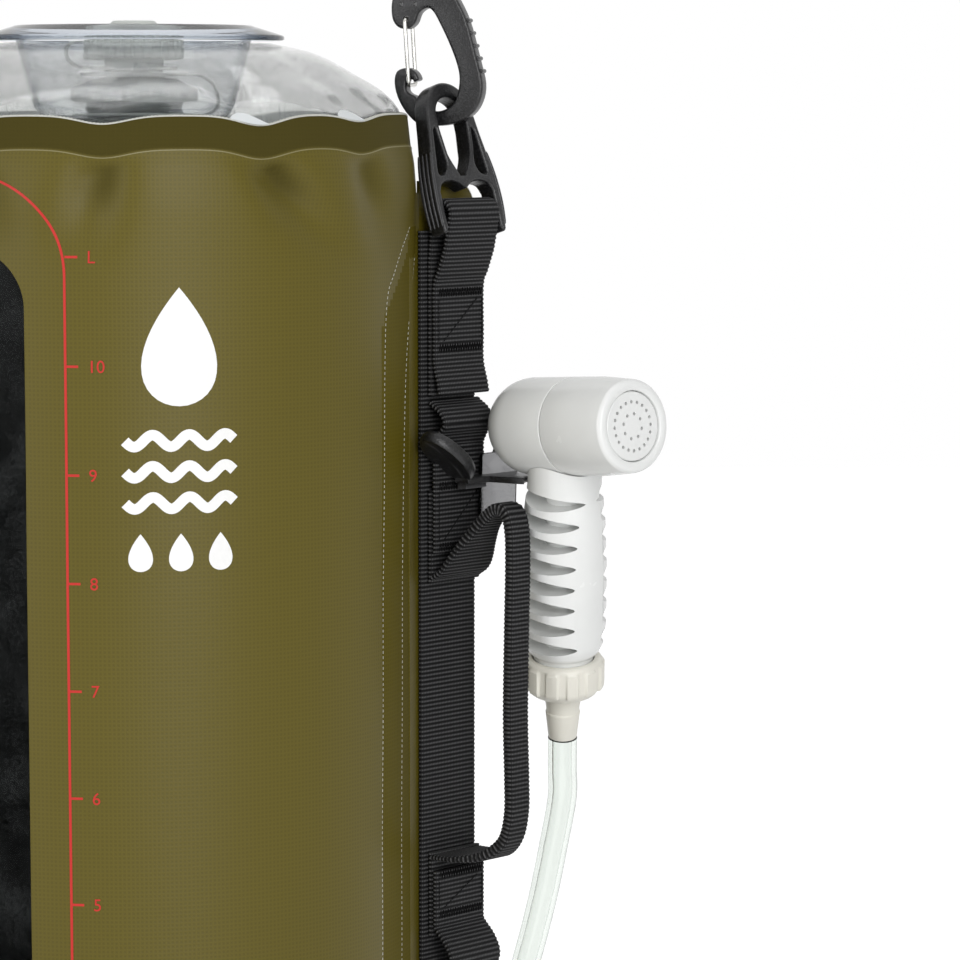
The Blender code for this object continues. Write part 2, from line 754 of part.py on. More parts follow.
def ring_outline():
    """An A-shape: two legs, open between their feet, and an arch on top."""
    right = [
        (RING_SLOT_HALF, -0.0056),
        (0.0142, -0.0075),
        (0.0155, -0.0058),
        (0.0156, 0.0030),
        (0.0149, 0.0120),
        (0.0128, 0.0262),
    ]
    arch = arc((0, RING_ARCH_CENTRE), RING_ARCH_RADIUS, 8, 172, 9)
    left = [(-x, t) for x, t in right[::-1]]
    scallops = [
        (-RING_SLOT_HALF, 0.0070),
        (-0.0110, 0.0098),
        (-0.0070, 0.0107),
        (-0.0030, 0.0098),
        (0.0, 0.0080),
        (0.0030, 0.0098),
        (0.0070, 0.0107),
        (0.0110, 0.0098),
        (RING_SLOT_HALF, 0.0070),
    ]
    return right + arch + left + scallops


def ring_eye():
    top = arc((0, RING_EYE_CENTRE), RING_EYE_RADIUS, 0, 180, 9)
    left = [(-0.0066, 0.0270), (-0.0054, 0.0200), (-0.0014, 0.0126)]
    right = [(-x, t) for x, t in left[::-1]]
    return top + left + right


def ring_window(mirror):
    """The slender opening in each leg."""
    points = [(0.0088, 0.0298), (0.0069, 0.0165), (0.0084, 0.0134), (0.0122, 0.0126), (0.0100, 0.0285)]
    return [(mirror * x, t) for x, t in points]


def build_strap_ring(side, parent):
    """The ring's own frame has its bar on the origin along X, and leans back by RING_LEAN."""
    place_at = Matrix.Translation((WEBBING_MIDDLE, -RING_PIVOT_N, RING_PIVOT_Z))
    pivot = empty("ring_pivot_" + side, parent, place_at @ Matrix.Rotation(-RING_LEAN, 4, "X"))
    outlines = [ring_outline(), ring_eye(), ring_window(1), ring_window(-1)]
    plate = flat_shape("strap_ring_" + side, outlines, RING_DEPTH, ACETAL_BLACK, edge=RING_EDGE)
    plate = bake(place(plate, pivot, (0, 0, 0), FACE_TURN))
    bar = rod("ring_bar_" + side, RING_BAR_RADIUS, 2 * RING_SLOT_HALF + 0.002, ACETAL_BLACK, sides=12)
    place(bar, pivot, (0, 0, 0), (0, math.radians(90), 0))
    return join(plate, bar)


CARABINER_OUTER = (
    (0.0066, 0.0329),
    (0.0108, 0.0244),
    (0.0144, 0.0115),
    (0.0164, 0.0030),
    (0.0155, -0.0030),
    (0.0124, -0.0076),
    (0.0072, -0.0104),
    (0.0007, -0.0115),
    (-0.0062, -0.0109),
    (-0.0098, -0.0083),
    (-0.0125, -0.0048),
    (-0.0145, -0.0005),
    (-0.0152, 0.0040),
    (-0.0141, 0.0073),
    (-0.0105, 0.0083),
    (-0.0077, 0.0070),
    (-0.0064, 0.0044),
    (-0.0082, 0.0036),
    (-0.0086, 0.0042),
    (-0.0104, 0.0043),
    (-0.0108, 0.0010),
    (-0.0096, -0.0005),
    (-0.0078, -0.0013),
    (-0.0064, -0.0034),
    (-0.0040, -0.0056),
    (-0.0008, -0.0065),
    (0.0026, -0.0060),
    (0.0055, -0.0042),
    (0.0073, -0.0010),
    (0.0081, 0.0045),
    (0.0072, 0.0095),
    (0.0048, 0.0158),
    (0.0018, 0.0221),
    (-0.0012, 0.0274),
    (-0.0035, 0.0286),
    (-0.0062, 0.0270),
    (-0.0078, 0.0234),
    (-0.0104, 0.0216),
    (-0.0138, 0.0222),
    (-0.0159, 0.0252),
    (-0.0161, 0.0306),
    (-0.0145, 0.0350),
    (-0.0110, 0.0378),
    (-0.0050, 0.0387),
    (0.0012, 0.0384),
    (0.0046, 0.0366),
)


def build_carabiner(side, parent):
    """The carabiner hangs on the ring's arch: its own frame has its swing axis on Y through the origin."""
    reach = (RING_ARCH_CENTRE + RING_ARCH_RADIUS + RING_EYE_CENTRE + RING_EYE_RADIUS) / 2
    centre = (
        WEBBING_MIDDLE,
        -RING_PIVOT_N + reach * math.sin(RING_LEAN),
        RING_PIVOT_Z + reach * math.cos(RING_LEAN),
    )
    turn = Matrix.Translation(centre) @ Matrix.Rotation(CARABINER_HEADING - SIDE_TURN, 4, "Z")
    pivot = empty("carabiner_pivot_" + side, parent, turn)
    body = flat_shape("carabiner_body_" + side, [CARABINER_OUTER], CARABINER_DEPTH, ACETAL_BLACK, edge=0.0011)
    body = bake(place(body, pivot, (0, 0, 0), FACE_TURN))
    helpers = []
    for i in range(5):
        share = i / 4
        x = 0.0109 + 0.0048 * share
        ridge = rod(f"spine_ridge_{side}_{i}", 0.00075, CARABINER_DEPTH - 0.0022, ACETAL_BLACK, sides=6)
        place(ridge, pivot, (x, 0, 0.0244 - 0.0172 * share), (math.radians(90), 0, 0))
        helpers.append(ridge)
    gate_hole = rod("gate_hole_" + side, GATE_WIRE + 0.0004, 0.02, sides=8)
    place(gate_hole, pivot, (GATE_PIVOT[0], 0, GATE_PIVOT[1]), (math.radians(90), 0, 0))
    light_holes = []
    for x in (-0.0126, -0.0076):
        hole = rod(f"head_hole_{side}_{x:.4f}", 0.0008, 0.02, sides=6)
        place(hole, pivot, (x, 0, 0.0300), (math.radians(90), 0, 0))
        light_holes.append(hole)
    join(body, *helpers)
    cut(body, gate_hole, *light_holes)
    spread, stub = GATE_HALF_SPREAD, 0.0012
    x_top, z_top = GATE_PIVOT
    x_foot, z_foot = GATE_FOOT
    bend = 0.0010
    half = [
        (x_top, stub, z_top),
        (x_top, spread - bend, z_top),
        (x_top, spread - 0.3 * bend, z_top - 0.3 * bend),
        (x_top, spread, z_top - bend),
        (x_foot, spread, z_foot + bend),
        (x_foot, spread - 0.3 * bend, z_foot + 0.3 * bend),
        (x_foot, spread - bend, z_foot),
    ]
    wire = half + [(x, -y, z) for x, y, z in half[::-1]]
    axis = empty("gate_axis_" + side, pivot, Matrix.Translation((x_top, 0, z_top)))
    points = [(x - x_top, y, z - z_top) for x, y, z in wire]
    gate = tube("carabiner_gate_" + side, points, GATE_WIRE, STEEL_WIRE, resolution=1)
    gate.parent = axis
    return body, bake(gate)


# Handset holder


def build_holder(parent):
    """An oval toggle under the loop and a flat fork that runs out under the barrel and ends round the neck."""
    neck_u, neck_n, neck_clear = 0.0297, 0.0402, 0.0140
    plate_low, plate_high = 0.2986, 0.3008
    notch = []
    for u in (0.0410, 0.0370, 0.0335, 0.0297, 0.0259, 0.0225, 0.0190):
        notch.append((u, -(neck_n - math.sqrt(neck_clear**2 - (u - neck_u) ** 2))))
    outline = [(0.0070, -0.0100), (0.0184, -0.0100), (0.0184, -0.0117), (0.0410, -0.0117), *notch]
    outline += [(0.0180, -0.0270), (0.0165, -0.0175), (0.0070, -0.0160)]
    plate = flat_shape("handset_holder", [outline], plate_high - plate_low, ACETAL_BLACK)
    plate = bake(place(plate, parent, (0, 0, (plate_low + plate_high) / 2)))
    toggle = rod("holder_toggle", TOGGLE_RADIUS, TOGGLE_THICKNESS, ACETAL_BLACK, sides=32)
    place(toggle, parent, TOGGLE_CENTRE, (0, TOGGLE_TILT, 0))
    toggle.scale = (1.0, TOGGLE_SQUASH, 1.0)
    rib = box("holder_rib", (0.0070, -0.0150, 0.2968), (0.0172, -0.0112, 0.2994), ACETAL_BLACK)
    rib.parent = parent
    return join(plate, toggle, rib)


def build_tongue(parent):
    """The glossy blade against the back edge of the fork, notched to pass in front of the loop."""
    outline = [(0.0205, -0.0180), (0.0355, -0.0180), (0.0370, -0.0165), (0.0370, 0.0195), (0.0355, 0.0210)]
    outline += [(0.0272, 0.0210), (0.0258, 0.0196), (0.0258, 0.0050), (0.0190, 0.0050), (0.0190, -0.0165)]
    blade = flat_shape("holder_tongue", [outline], 0.0016, TONGUE_GREY)
    return bake(place(blade, parent, (0, -0.0106, 0.3030), (math.radians(92), 0, 0)))


# Handset


def barrel_direction():
    return Vector(
        (
            math.cos(BARREL_RISE) * math.cos(BARREL_HEADING),
            math.cos(BARREL_RISE) * math.sin(BARREL_HEADING),
            math.sin(BARREL_RISE),
        )
    )


def handle_direction():
    return Vector(
        (
            math.sin(HANDLE_LEAN) * math.cos(HANDLE_HEADING),
            math.sin(HANDLE_LEAN) * math.sin(HANDLE_HEADING),
            math.cos(HANDLE_LEAN),
        )
    )


def frame_along(origin, z_axis, towards):
    """A matrix whose Z is z_axis and whose X leans towards another direction."""
    x_axis = (towards - towards.dot(z_axis) * z_axis).normalized()
    y_axis = z_axis.cross(x_axis)
    matrix = Matrix((x_axis, y_axis, z_axis)).transposed().to_4x4()
    return Matrix.Translation(origin) @ matrix


def build_barrel(barrel):
    """Two shells that meet at the seam, with the spray plate in the front one. Z is the spray direction."""
    rear_centre = FACE_REACH - BARREL_LENGTH + BARREL_RADIUS
    radius, wall = BARREL_RADIUS, BARREL_WALL
    dome = [(radius * math.cos(a), rear_centre + radius * math.sin(a)) for a in angles(0, -90, 6)]
    within = radius - wall
    bore = [(within * math.cos(a), rear_centre + within * math.sin(a)) for a in angles(-90, 0, 4)]
    seam = SEAM_REACH - GAP / 2
    profile = [(within, seam), (radius, seam), *dome, *bore]
    rear = turned("handset_rear_shell", profile, WHITE_PLASTIC, steps=28, solid=True)
    rear = close_loop(rear)
    rear.parent = barrel
    water_way = rod("rear_shell_port", 0.0040, 0.02, sides=16)
    water_way.parent = barrel
    place(water_way, barrel, (-radius, 0, 0.0), (0, math.radians(90), 0))
    cut(rear, water_way)
    front_seam = SEAM_REACH + GAP / 2
    face = FACE_REACH
    front = turned(
        "handset_front_shell",
        [
            (PLATE_RADIUS + GAP, face - 0.0004),
            (0.0135, face),
            (FACE_RIM_RADIUS - 0.0008, face - 0.0003),
            (FACE_RIM_RADIUS, face - 0.0014),
            (radius, face - 0.0150),
            (radius, front_seam),
            (radius - wall, front_seam),
            (radius - wall, face - 0.0065),
            (PLATE_RADIUS - 0.0012, face - 0.0050),
            (PLATE_RADIUS - 0.0012, face - 0.0012 - PLATE_THICKNESS),
            (PLATE_RADIUS + GAP, face - 0.0012 - PLATE_THICKNESS),
        ],
        WHITE_PLASTIC,
        steps=28,
    )
    front.parent = barrel
    plate_back = face - 0.0012 - PLATE_THICKNESS + GAP
    plate_front = plate_back + PLATE_THICKNESS
    plate = turned(
        "spray_plate",
        [
            (0, plate_front),
            (PLATE_RADIUS - 0.0004, plate_front),
            (PLATE_RADIUS, plate_front - 0.0004),
            (PLATE_RADIUS, plate_back),
            (0, plate_back),
        ],
        WHITE_PLASTIC,
        steps=24,
        solid=True,
    )
    plate.parent = barrel
    circles = ((OUTER_JETS, OUTER_JET_CIRCLE), (INNER_JETS, INNER_JET_CIRCLE))
    jets = ring_of_rods("spray_jets", circles, (plate_front + plate_back) / 2)
    jets.parent = barrel
    cut(plate, jets)
    return rear, front, plate


def close_loop(obj):
    """Drop the stray axis edge of a hollow dome's profile, which closes by meeting the axis twice."""
    mesh = obj.data
    work = bmesh.new()
    work.from_mesh(mesh)
    work.verts.ensure_lookup_table()
    work.edges.new((work.verts[-1], work.verts[0]))
    axis_edges = [edge for edge in work.edges if all(abs(vert.co.x) < 1e-7 for vert in edge.verts)]
    for edge in axis_edges:
        work.edges.remove(edge)
    work.to_mesh(mesh)
    work.free()
    return obj


def angles(start, end, count):
    return [math.radians(start + (end - start) * i / (count - 1)) for i in range(count)]


def ring_of_rods(name, circles, height):
    mesh = bpy.data.meshes.new(name)
    work = bmesh.new()
    for count, circle in circles:
        for i in range(count):
            angle = 2 * math.pi * i / count
            made = bmesh.ops.create_cone(
                work, cap_ends=True, segments=4, radius1=JET_RADIUS, radius2=JET_RADIUS, depth=0.01
            )
            at = (circle * math.cos(angle), circle * math.sin(angle), height)
            bmesh.ops.translate(work, verts=made["verts"], vec=at)
    work.to_mesh(mesh)
    work.free()
    return add_mesh(name, mesh, None)


def build_grip(handle, barrel):
    """The slotted grip: a round core inside stacked ribs, joined front and back by webs. Z is up the handle."""
    profile = [
        (0, -0.0100),
        (0.0126, -0.0100),
        (0.0128, -0.0205),
        (0.0141, -0.0320),
        (0.0149, -0.0520),
        (0.0148, -0.0720),
        (0.0141, -0.0790),
        (0.0124, -0.0826),
        (THREAD_RADIUS, -0.0840),
        (THREAD_RADIUS, THREAD_END + 0.0008),
        (THREAD_RADIUS - 0.0008, THREAD_END),
        (0, THREAD_END),
    ]
    grip = turned("handset_grip", profile, WHITE_PLASTIC, steps=24, solid=True)
    grip.parent = handle
    saddle = rod("barrel_saddle", BARREL_RADIUS + GAP, 0.08, sides=32)
    saddle.parent = barrel
    slots = bpy.data.meshes.new("grip_slots")
    work = bmesh.new()
    for i in range(SLOT_COUNT):
        made = bmesh.ops.create_cone(work, cap_ends=True, segments=8, radius1=1.0, radius2=1.0, depth=0.05)
        stretch = Matrix.Diagonal((SLOT_HALF_LENGTH, SLOT_HALF_HEIGHT, 1.0))
        turn = Matrix.Rotation(math.radians(90), 3, "X")
        bmesh.ops.transform(work, matrix=(turn @ stretch).to_4x4(), verts=made["verts"])
        bmesh.ops.translate(work, vec=(0, 0, SLOT_TOP - i * SLOT_PITCH), verts=made["verts"])
    work.to_mesh(slots)
    work.free()
    slots = add_mesh("grip_slots", slots, None)
    slots.parent = handle
    top, bottom = SLOT_TOP + 0.005, SLOT_TOP - SLOT_PITCH * (SLOT_COUNT - 1) - 0.004
    core = rod("grip_core", GRIP_CORE, top - bottom, WHITE_PLASTIC, sides=12)
    place(core, handle, (0, 0, (top + bottom) / 2))
    bore = rod("grip_bore", GRIP_BORE, 0.12, sides=12)
    place(bore, handle, (0, 0, -0.055))
    cut(grip, saddle, slots)
    join(grip, core)
    return cut(grip, bore)


def build_nut_and_tail(handle):
    """The union nut, the washer in it and the barbed tail that the hose fits over."""
    low_hole = 0.0069
    nut = turned(
        "union_nut",
        [
            (NUT_RADIUS - 0.0012, NUT_TOP),
            (NUT_RADIUS, NUT_TOP - 0.0010),
            (NUT_RADIUS, NUT_BOTTOM + 0.0040),
            (0.0118, NUT_BOTTOM + 0.0014),
            (0.0086, NUT_BOTTOM),
            (low_hole, NUT_BOTTOM),
            (low_hole, NUT_BOTTOM + 0.0012),
            (THREAD_RADIUS + 0.0004, NUT_BOTTOM + 0.0012),
            (THREAD_RADIUS + 0.0004, NUT_TOP),
        ],
        IVORY_PLASTIC,
        steps=24,
    )
    nut.parent = handle
    low, high = NUT_BOTTOM + 0.0036, NUT_TOP - 0.0022
    grip = ribs("union_nut_ribs", NUT_RIBS, NUT_RADIUS, NUT_RIB_RADIUS, low, high, IVORY_PLASTIC)
    grip.parent = handle
    join(nut, grip)
    washer_top = THREAD_END - GAP
    washer_bottom = washer_top - 0.0016
    washer = turned(
        "nut_washer",
        [(0.0098, washer_top), (0.0098, washer_bottom), (0.0050, washer_bottom), (0.0050, washer_top)],
        SEAL_RUBBER,
        steps=20,
    )
    washer.parent = handle
    flange_top = washer_bottom - GAP
    tail = turned(
        "hose_tail",
        [
            (0.0100, flange_top),
            (0.0100, flange_top - 0.0014),
            (0.0064, flange_top - 0.0014),
            (0.0064, -0.1012),
            (0.0057, -0.1058),
            (0.0061, -0.1062),
            (0.0050, TAIL_END),
            (0.0028, TAIL_END),
            (0.0028, flange_top),
        ],
        IVORY_PLASTIC,
        steps=16,
    )
    tail.parent = handle
    return nut, washer, tail


# Outlet and tap


def place_on_outlet(obj, reach):
    """Stand an object's Z along the outlet's axis, reach metres from the bag's centre line."""
    at = (reach * math.cos(OUTLET_ANGLE), reach * math.sin(OUTLET_ANGLE), OUTLET_HEIGHT)
    return place(obj, None, at, (0, math.radians(90), OUTLET_ANGLE))


def build_outlet():
    flange = turned(
        "outlet_flange",
        [
            (OUTLET_THREAD, OUTLET_THREAD_LENGTH),
            (OUTLET_THREAD, 0.0),
            (0.0138, 0.0),
            (0.0138, -0.0020),
            (OUTLET_BORE, -0.0020),
            (OUTLET_BORE, OUTLET_THREAD_LENGTH),
        ],
        ACETAL_BLACK,
        steps=16,
    )
    place_on_outlet(flange, OUTLET_SEAT)
    washer = turned(
        "outlet_washer",
        [(0.0120, OUTLET_WASHER), (0.0120, 0.0), (OUTLET_THREAD + GAP, 0.0), (OUTLET_THREAD + GAP, OUTLET_WASHER)],
        SEAL_RUBBER,
        steps=16,
    )
    place_on_outlet(washer, BAG_RADIUS + GAP)
    hexagon = arc((0, 0), 0.0138, 0, 300, 6)
    hole = arc((0, 0), OUTLET_THREAD + 2 * GAP, 0, 337.5, 16)
    nut = flat_shape("outlet_locknut", [hexagon, hole], LOCKNUT_HEIGHT, ACETAL_BLACK)
    place_on_outlet(nut, BAG_RADIUS + OUTLET_WASHER + 2 * GAP + LOCKNUT_HEIGHT / 2)
    return flange, washer, bake(nut)


def build_tap():
    """A quarter-turn elbow tap: an upright barrel, an inlet towards the bag and a barb that points to the right."""
    inlet_start = OUTLET_SEAT + OUTLET_THREAD_LENGTH + GAP
    centre = Vector((math.cos(OUTLET_ANGLE), math.sin(OUTLET_ANGLE), 0)) * TAP_AXIS_REACH
    centre.z = OUTLET_HEIGHT
    barb_turn = OUTLET_ANGLE - math.radians(90)
    frame = empty("tap_frame", None, Matrix.Translation(centre) @ Matrix.Rotation(barb_turn, 4, "Z"))
    body = turned(
        "tap_body",
        [
            (0, 0.0115),
            (0.0080, 0.0115),
            (TAP_BODY_RADIUS, 0.0100),
            (TAP_BODY_RADIUS, -0.0105),
            (0.0080, -0.0120),
            (0, -0.0120),
        ],
        ACETAL_BLACK,
        steps=24,
        solid=True,
    )
    body.parent = frame
    inlet_length = TAP_AXIS_REACH - inlet_start
    inlet = rod("tap_inlet", 0.0098, inlet_length, ACETAL_BLACK, sides=20)
    place(inlet, frame, (0, -inlet_length / 2, 0), (math.radians(90), 0, 0))
    barb = turned(
        "tap_barb",
        [
            (0, TAP_BARB_REACH),
            (0.0046, TAP_BARB_REACH),
            (0.0056, 0.0270),
            (0.0050, 0.0268),
            (0.0060, 0.0205),
            (0.0064, 0.0200),
            (0.0072, 0.0120),
            (0.0072, 0.0),
            (0, 0.0),
        ],
        ACETAL_BLACK,
        steps=16,
        solid=True,
    )
    place(barb, frame, (0, 0, 0), (0, math.radians(90), 0))
    join(body, inlet, barb)
    lever = turned(
        "tap_lever",
        [(0, 0.0178), (0.0074, 0.0178), (0.0086, 0.0168), (0.0086, 0.0118), (0, 0.0118)],
        ACETAL_BLACK,
        steps=20,
        solid=True,
    )
    lever.parent = frame
    blade = box("tap_lever_blade", (0.0, -0.0028, 0.0126), (0.0285, 0.0028, 0.0170), ACETAL_BLACK)
    soften = blade.modifiers.new("Round", "BEVEL")
    soften.width = 0.0012
    soften.segments = 2
    blade.parent = frame
    join(lever, blade)
    return body, lever, frame


# Hose


def hose_points(tap_frame, handle):
    """The hose's centreline: straight off the barb, round the back of the bag, and straight into the tail."""
    bpy.context.view_layer.update()
    along = (tap_frame.matrix_world.to_3x3() @ Vector((1, 0, 0))).normalized()
    start = tap_frame.matrix_world @ Vector((TAP_BARB_REACH + GAP, 0, 0))
    up = handle_direction()
    end = handle.matrix_world @ Vector((0, 0, TAIL_END - GAP))
    route = [start, start + along * 0.012, *HOSE_ROUTE, end - up * 0.024, end - up * 0.012, end]
    return smooth_path(route, 2)


def bend_radius(a, b, c):
    """The radius of the circle through three points."""
    twice_area = (b - a).cross(c - a).length
    if twice_area < 1e-12:
        return math.inf
    return (b - a).length * (c - b).length * (c - a).length / (2 * twice_area)


def build_hose(tap_frame, handle):
    points = hose_points(tap_frame, handle)
    length = sum((b - a).length for a, b in zip(points, points[1:]))
    tightest = min(bend_radius(*points[i - 1 : i + 2]) for i in range(1, len(points) - 1))
    lowest = min(point.z for point in points) - HOSE_RADIUS
    print(f"hose centreline {length:.4f} m, tightest bend {tightest:.4f} m, lowest {lowest:.4f} m")
    return bake(tube("hose", points, HOSE_RADIUS, HOSE_CLEAR, resolution=2))


def main():
    build_bag_tube()
    build_window_film()
    build_bag_base()
    build_top_film()
    build_filler_well()
    build_filler_neck()
    build_filler_gasket()
    build_filler_cap()
    build_spout_cap()
    build_spout_gasket()
    build_cap_tether()
    build_spout_tether()
    frames = side_frames()
    ply_lift = WEBBING + GAP
    for side, frame in frames.items():
        lift = ply_lift if side == "right" else 0.0
        build_side_flange(side, frame)
        build_side_strap(side, frame)
        build_ring_loop(side, frame)
        build_mid_loop(side, frame, lift)
        build_lower_loop(side, frame, lift)
        build_strap_ring(side, frame)
        build_carabiner(side, frame)
    build_carry_handle(frames["right"])
    build_holder(frames["right"])
    build_tongue(frames["right"])
    barrel = empty("barrel_frame", None, frame_along(NECK_POINT, barrel_direction(), handle_direction()))
    handle = empty("handle_frame", None, frame_along(NECK_POINT, handle_direction(), barrel_direction()))
    build_barrel(barrel)
    build_grip(handle, barrel)
    build_nut_and_tail(handle)
    build_outlet()
    tap_frame = build_tap()[2]
    build_hose(tap_frame, handle)


main()
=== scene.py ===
"""The looks of a portable camp shower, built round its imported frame.

Metres, +Z up. The origin is the centre of the bag's base, -Y is the printed front and +X is the handset side.
Angles round the bag are measured from the front towards +X. On a side strap, u runs out from the bag across
the webbing, n is its face normal and z is up.
"""

import math

import bmesh
import bpy
from bpy.props import FloatProperty, FloatVectorProperty, IntProperty, PointerProperty
from mathutils import Matrix, Vector, noise


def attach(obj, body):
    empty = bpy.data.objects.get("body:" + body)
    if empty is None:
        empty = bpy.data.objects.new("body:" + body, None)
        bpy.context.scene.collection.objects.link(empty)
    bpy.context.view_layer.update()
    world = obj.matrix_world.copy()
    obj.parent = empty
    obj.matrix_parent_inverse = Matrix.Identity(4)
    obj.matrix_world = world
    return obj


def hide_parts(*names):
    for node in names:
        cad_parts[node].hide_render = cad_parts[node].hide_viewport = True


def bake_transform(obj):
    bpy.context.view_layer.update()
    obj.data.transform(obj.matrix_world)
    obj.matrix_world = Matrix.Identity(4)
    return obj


bl_info = {
    "name": "Portable shower",
    "version": (1, 0, 0),
    "blender": (4, 5, 0),
    "location": "View3D > Sidebar > Shower",
    "description": "Builds the looks of a portable camp shower round its packed frame",
    "category": "Object",
}

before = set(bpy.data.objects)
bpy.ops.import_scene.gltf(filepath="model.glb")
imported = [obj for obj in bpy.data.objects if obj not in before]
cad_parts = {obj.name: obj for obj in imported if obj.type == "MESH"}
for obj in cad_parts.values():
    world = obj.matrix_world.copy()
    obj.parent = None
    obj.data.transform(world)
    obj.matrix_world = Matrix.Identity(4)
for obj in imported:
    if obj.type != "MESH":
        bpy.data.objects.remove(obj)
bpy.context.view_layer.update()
GAP = 0.0003
STRAIGHT = -0.99

# Bag
MOUTH_RADIUS = 0.0934
SHOULDER_HEIGHT = 0.395
WINDOW_ANGLE = -25.4
WINDOW_HALF_WIDTH = 0.0185
WINDOW_BOTTOM = 0.030
WINDOW_TOP = 0.382
FILM_LOW = 0.413

# Side webbing
SIDE_ROOT = 0.0975
SIDE_TURN = math.radians(49.0)
STRAP_FACE = 0.0009
PLY_1 = 0.00405
PLY_2 = 0.00625

# Strap ring
RING_PIVOT_N = 0.0096
RING_PIVOT_Z = 0.391
RING_LEAN = math.radians(17.0)
RING_DEPTH = 0.0070
RING_BAR_RADIUS = 0.0028
RING_ARCH_CENTRE = 0.0343
RING_ARCH_RADIUS = 0.0112
RING_EYE_RADIUS = 0.0068
RING_EYE_CENTRE = 0.0336
RING_SLOT_HALF = 0.0129

# Carabiner
CARABINER_HEADING = math.radians(-14.0)
CARABINER_DEPTH = 0.0062
GATE_PIVOT = (-0.0108, 0.0250)
GATE_FOOT = (-0.0096, 0.0024)
GATE_WIRE = 0.0007
GATE_HALF_SPREAD = 0.0042

# Handset
NECK_POINT = Vector((0.1475, -0.0091, 0.319))
BARREL_HEADING = math.radians(-46.9)
BARREL_RISE = math.radians(3.9)
HANDLE_HEADING = math.radians(-87.7)
HANDLE_LEAN = math.radians(15.0)
FACE_REACH = 0.0346
BARREL_LENGTH = 0.066
BARREL_RADIUS = 0.0168
BARREL_WALL = 0.0020
SEAM_REACH = FACE_REACH - 0.0295
FACE_RIM_RADIUS = 0.0158
PLATE_RADIUS = 0.0117
PLATE_THICKNESS = 0.0020
JET_RADIUS = 0.00060
OUTER_JET_RING = 0.0082
INNER_JET_RING = 0.0042
THREAD_RADIUS = 0.0105
THREAD_END = -0.0940
NUT_TOP = -0.0850
NUT_BOTTOM = -0.0995
NUT_RADIUS = 0.0137
TAIL_END = -0.1160

# Outlet, tap and hose
OUTLET_ANGLE = math.radians(112.0)
OUTLET_HEIGHT = 0.028
OUTLET_HOLE = 0.0086
FLANGE_REACH = 0.0932
FLANGE_LENGTH = 0.0105
TAP_AXIS_REACH = 0.1245
TAP_BARB_REACH = 0.034
HOSE_ROUTE = (
    (0.0100, 0.1355, 0.0262), (0.0240, 0.1366, 0.0215), (0.0400, 0.1350, 0.0150),
    (0.0560, 0.1295, 0.0100), (0.0715, 0.1205, 0.0086), (0.0855, 0.1090, 0.0125),
    (0.0975, 0.0960, 0.0230), (0.1070, 0.0835, 0.0390), (0.1150, 0.0720, 0.0590),
    (0.1220, 0.0625, 0.0810), (0.1285, 0.0545, 0.1035), (0.1345, 0.0470, 0.1260),
    (0.1390, 0.0410, 0.1450), (0.1425, 0.0352, 0.1630),
)


def turned(degrees, axis):
    return Matrix.Rotation(math.radians(degrees), 4, axis)


def moved(x, y, z):
    return Matrix.Translation((x, y, z))


UPRIGHT = turned(90, "X")
SIDEWAYS = turned(90, "Y")


def size(label, words, default, top=1.0):
    facts = {"min": 0.0, "max": top, "precision": 5, "unit": "LENGTH"}
    return FloatProperty(name=label, description=words, default=default, **facts)


def colour(label, words, default):
    facts = {"size": 3, "subtype": "COLOR", "min": 0, "max": 1}
    return FloatVectorProperty(name=label, description=words, default=default, **facts)


def share(label, words, default, top=1.0):
    return FloatProperty(name=label, description=words, default=default, min=0.0, max=top, subtype="FACTOR")


def angle(label, words, degrees):
    return FloatProperty(name=label, description=words, default=math.radians(degrees), subtype="ANGLE")


def power(label, words, default):
    return FloatProperty(name=label, description=words, default=default, unit="POWER")


def number(label, words, default, low):
    return IntProperty(name=label, description=words, default=default, min=low)


class StageSettings(bpy.types.PropertyGroup):
    camera_distance: size("Camera distance", "From the camera to the middle of the view", 1.3, top=20.0)
    camera_pitch: angle("Camera pitch", "How far down the camera looks", 6.0)
    camera_turn: angle("Camera turn", "Turn round the bag from its front", 2.3)
    lens: FloatProperty(name="Lens", description="Focal length in mm", default=141.3, min=10, max=400)
    view_right: size("View right", "How far right of the bag's axis the camera aims", 0.118)
    view_height: size("View height", "How high the camera aims", 0.299)
    ambient: share("Ambient", "Level of the even light from all round", 0.28, top=2.0)
    key_power: power("Key lamp", "Power of the right-hand front lamp", 25.0)
    fill_power: power("Fill lamp", "Power of the left-hand front lamp", 9.0)
    top_power: power("Top lamp", "Power of the lamp overhead", 5.0)
    floor: colour("Floor", "Colour of the floor", (0.88, 0.88, 0.88))
    floor_glow: share("Floor glow", "How far the floor is lifted to white where it is seen", 0.72)


class BagSettings(bpy.types.PropertyGroup):
    radius: size("Radius", "Outside radius of the fabric tube", 0.096)
    height: size("Height", "Height of the fabric's top edge", 0.425)
    wall: size("Fabric", "Thickness of the coated fabric", 0.0012, top=0.01)
    weave: size("Weave pitch", "Distance between the scrim's threads", 0.0014, top=0.01)
    fabric: colour("Fabric", "Colour of the coated fabric", (0.105, 0.083, 0.0060))
    lining: colour("Lining", "Colour of the inside, seen through the window", (0.0075, 0.0080, 0.0080))
    cut_edge: colour("Cut edge", "Colour of the fabric's cut edge", (0.68, 0.68, 0.62))
    scale_print: colour("Scale print", "Colour of the printed litre scale", (0.56, 0.014, 0.008))
    motif_print: colour("Motif print", "Colour of the printed motif", (0.93, 0.93, 0.92))
    litre: size("Litre", "Height of one litre on the scale", 0.0349)


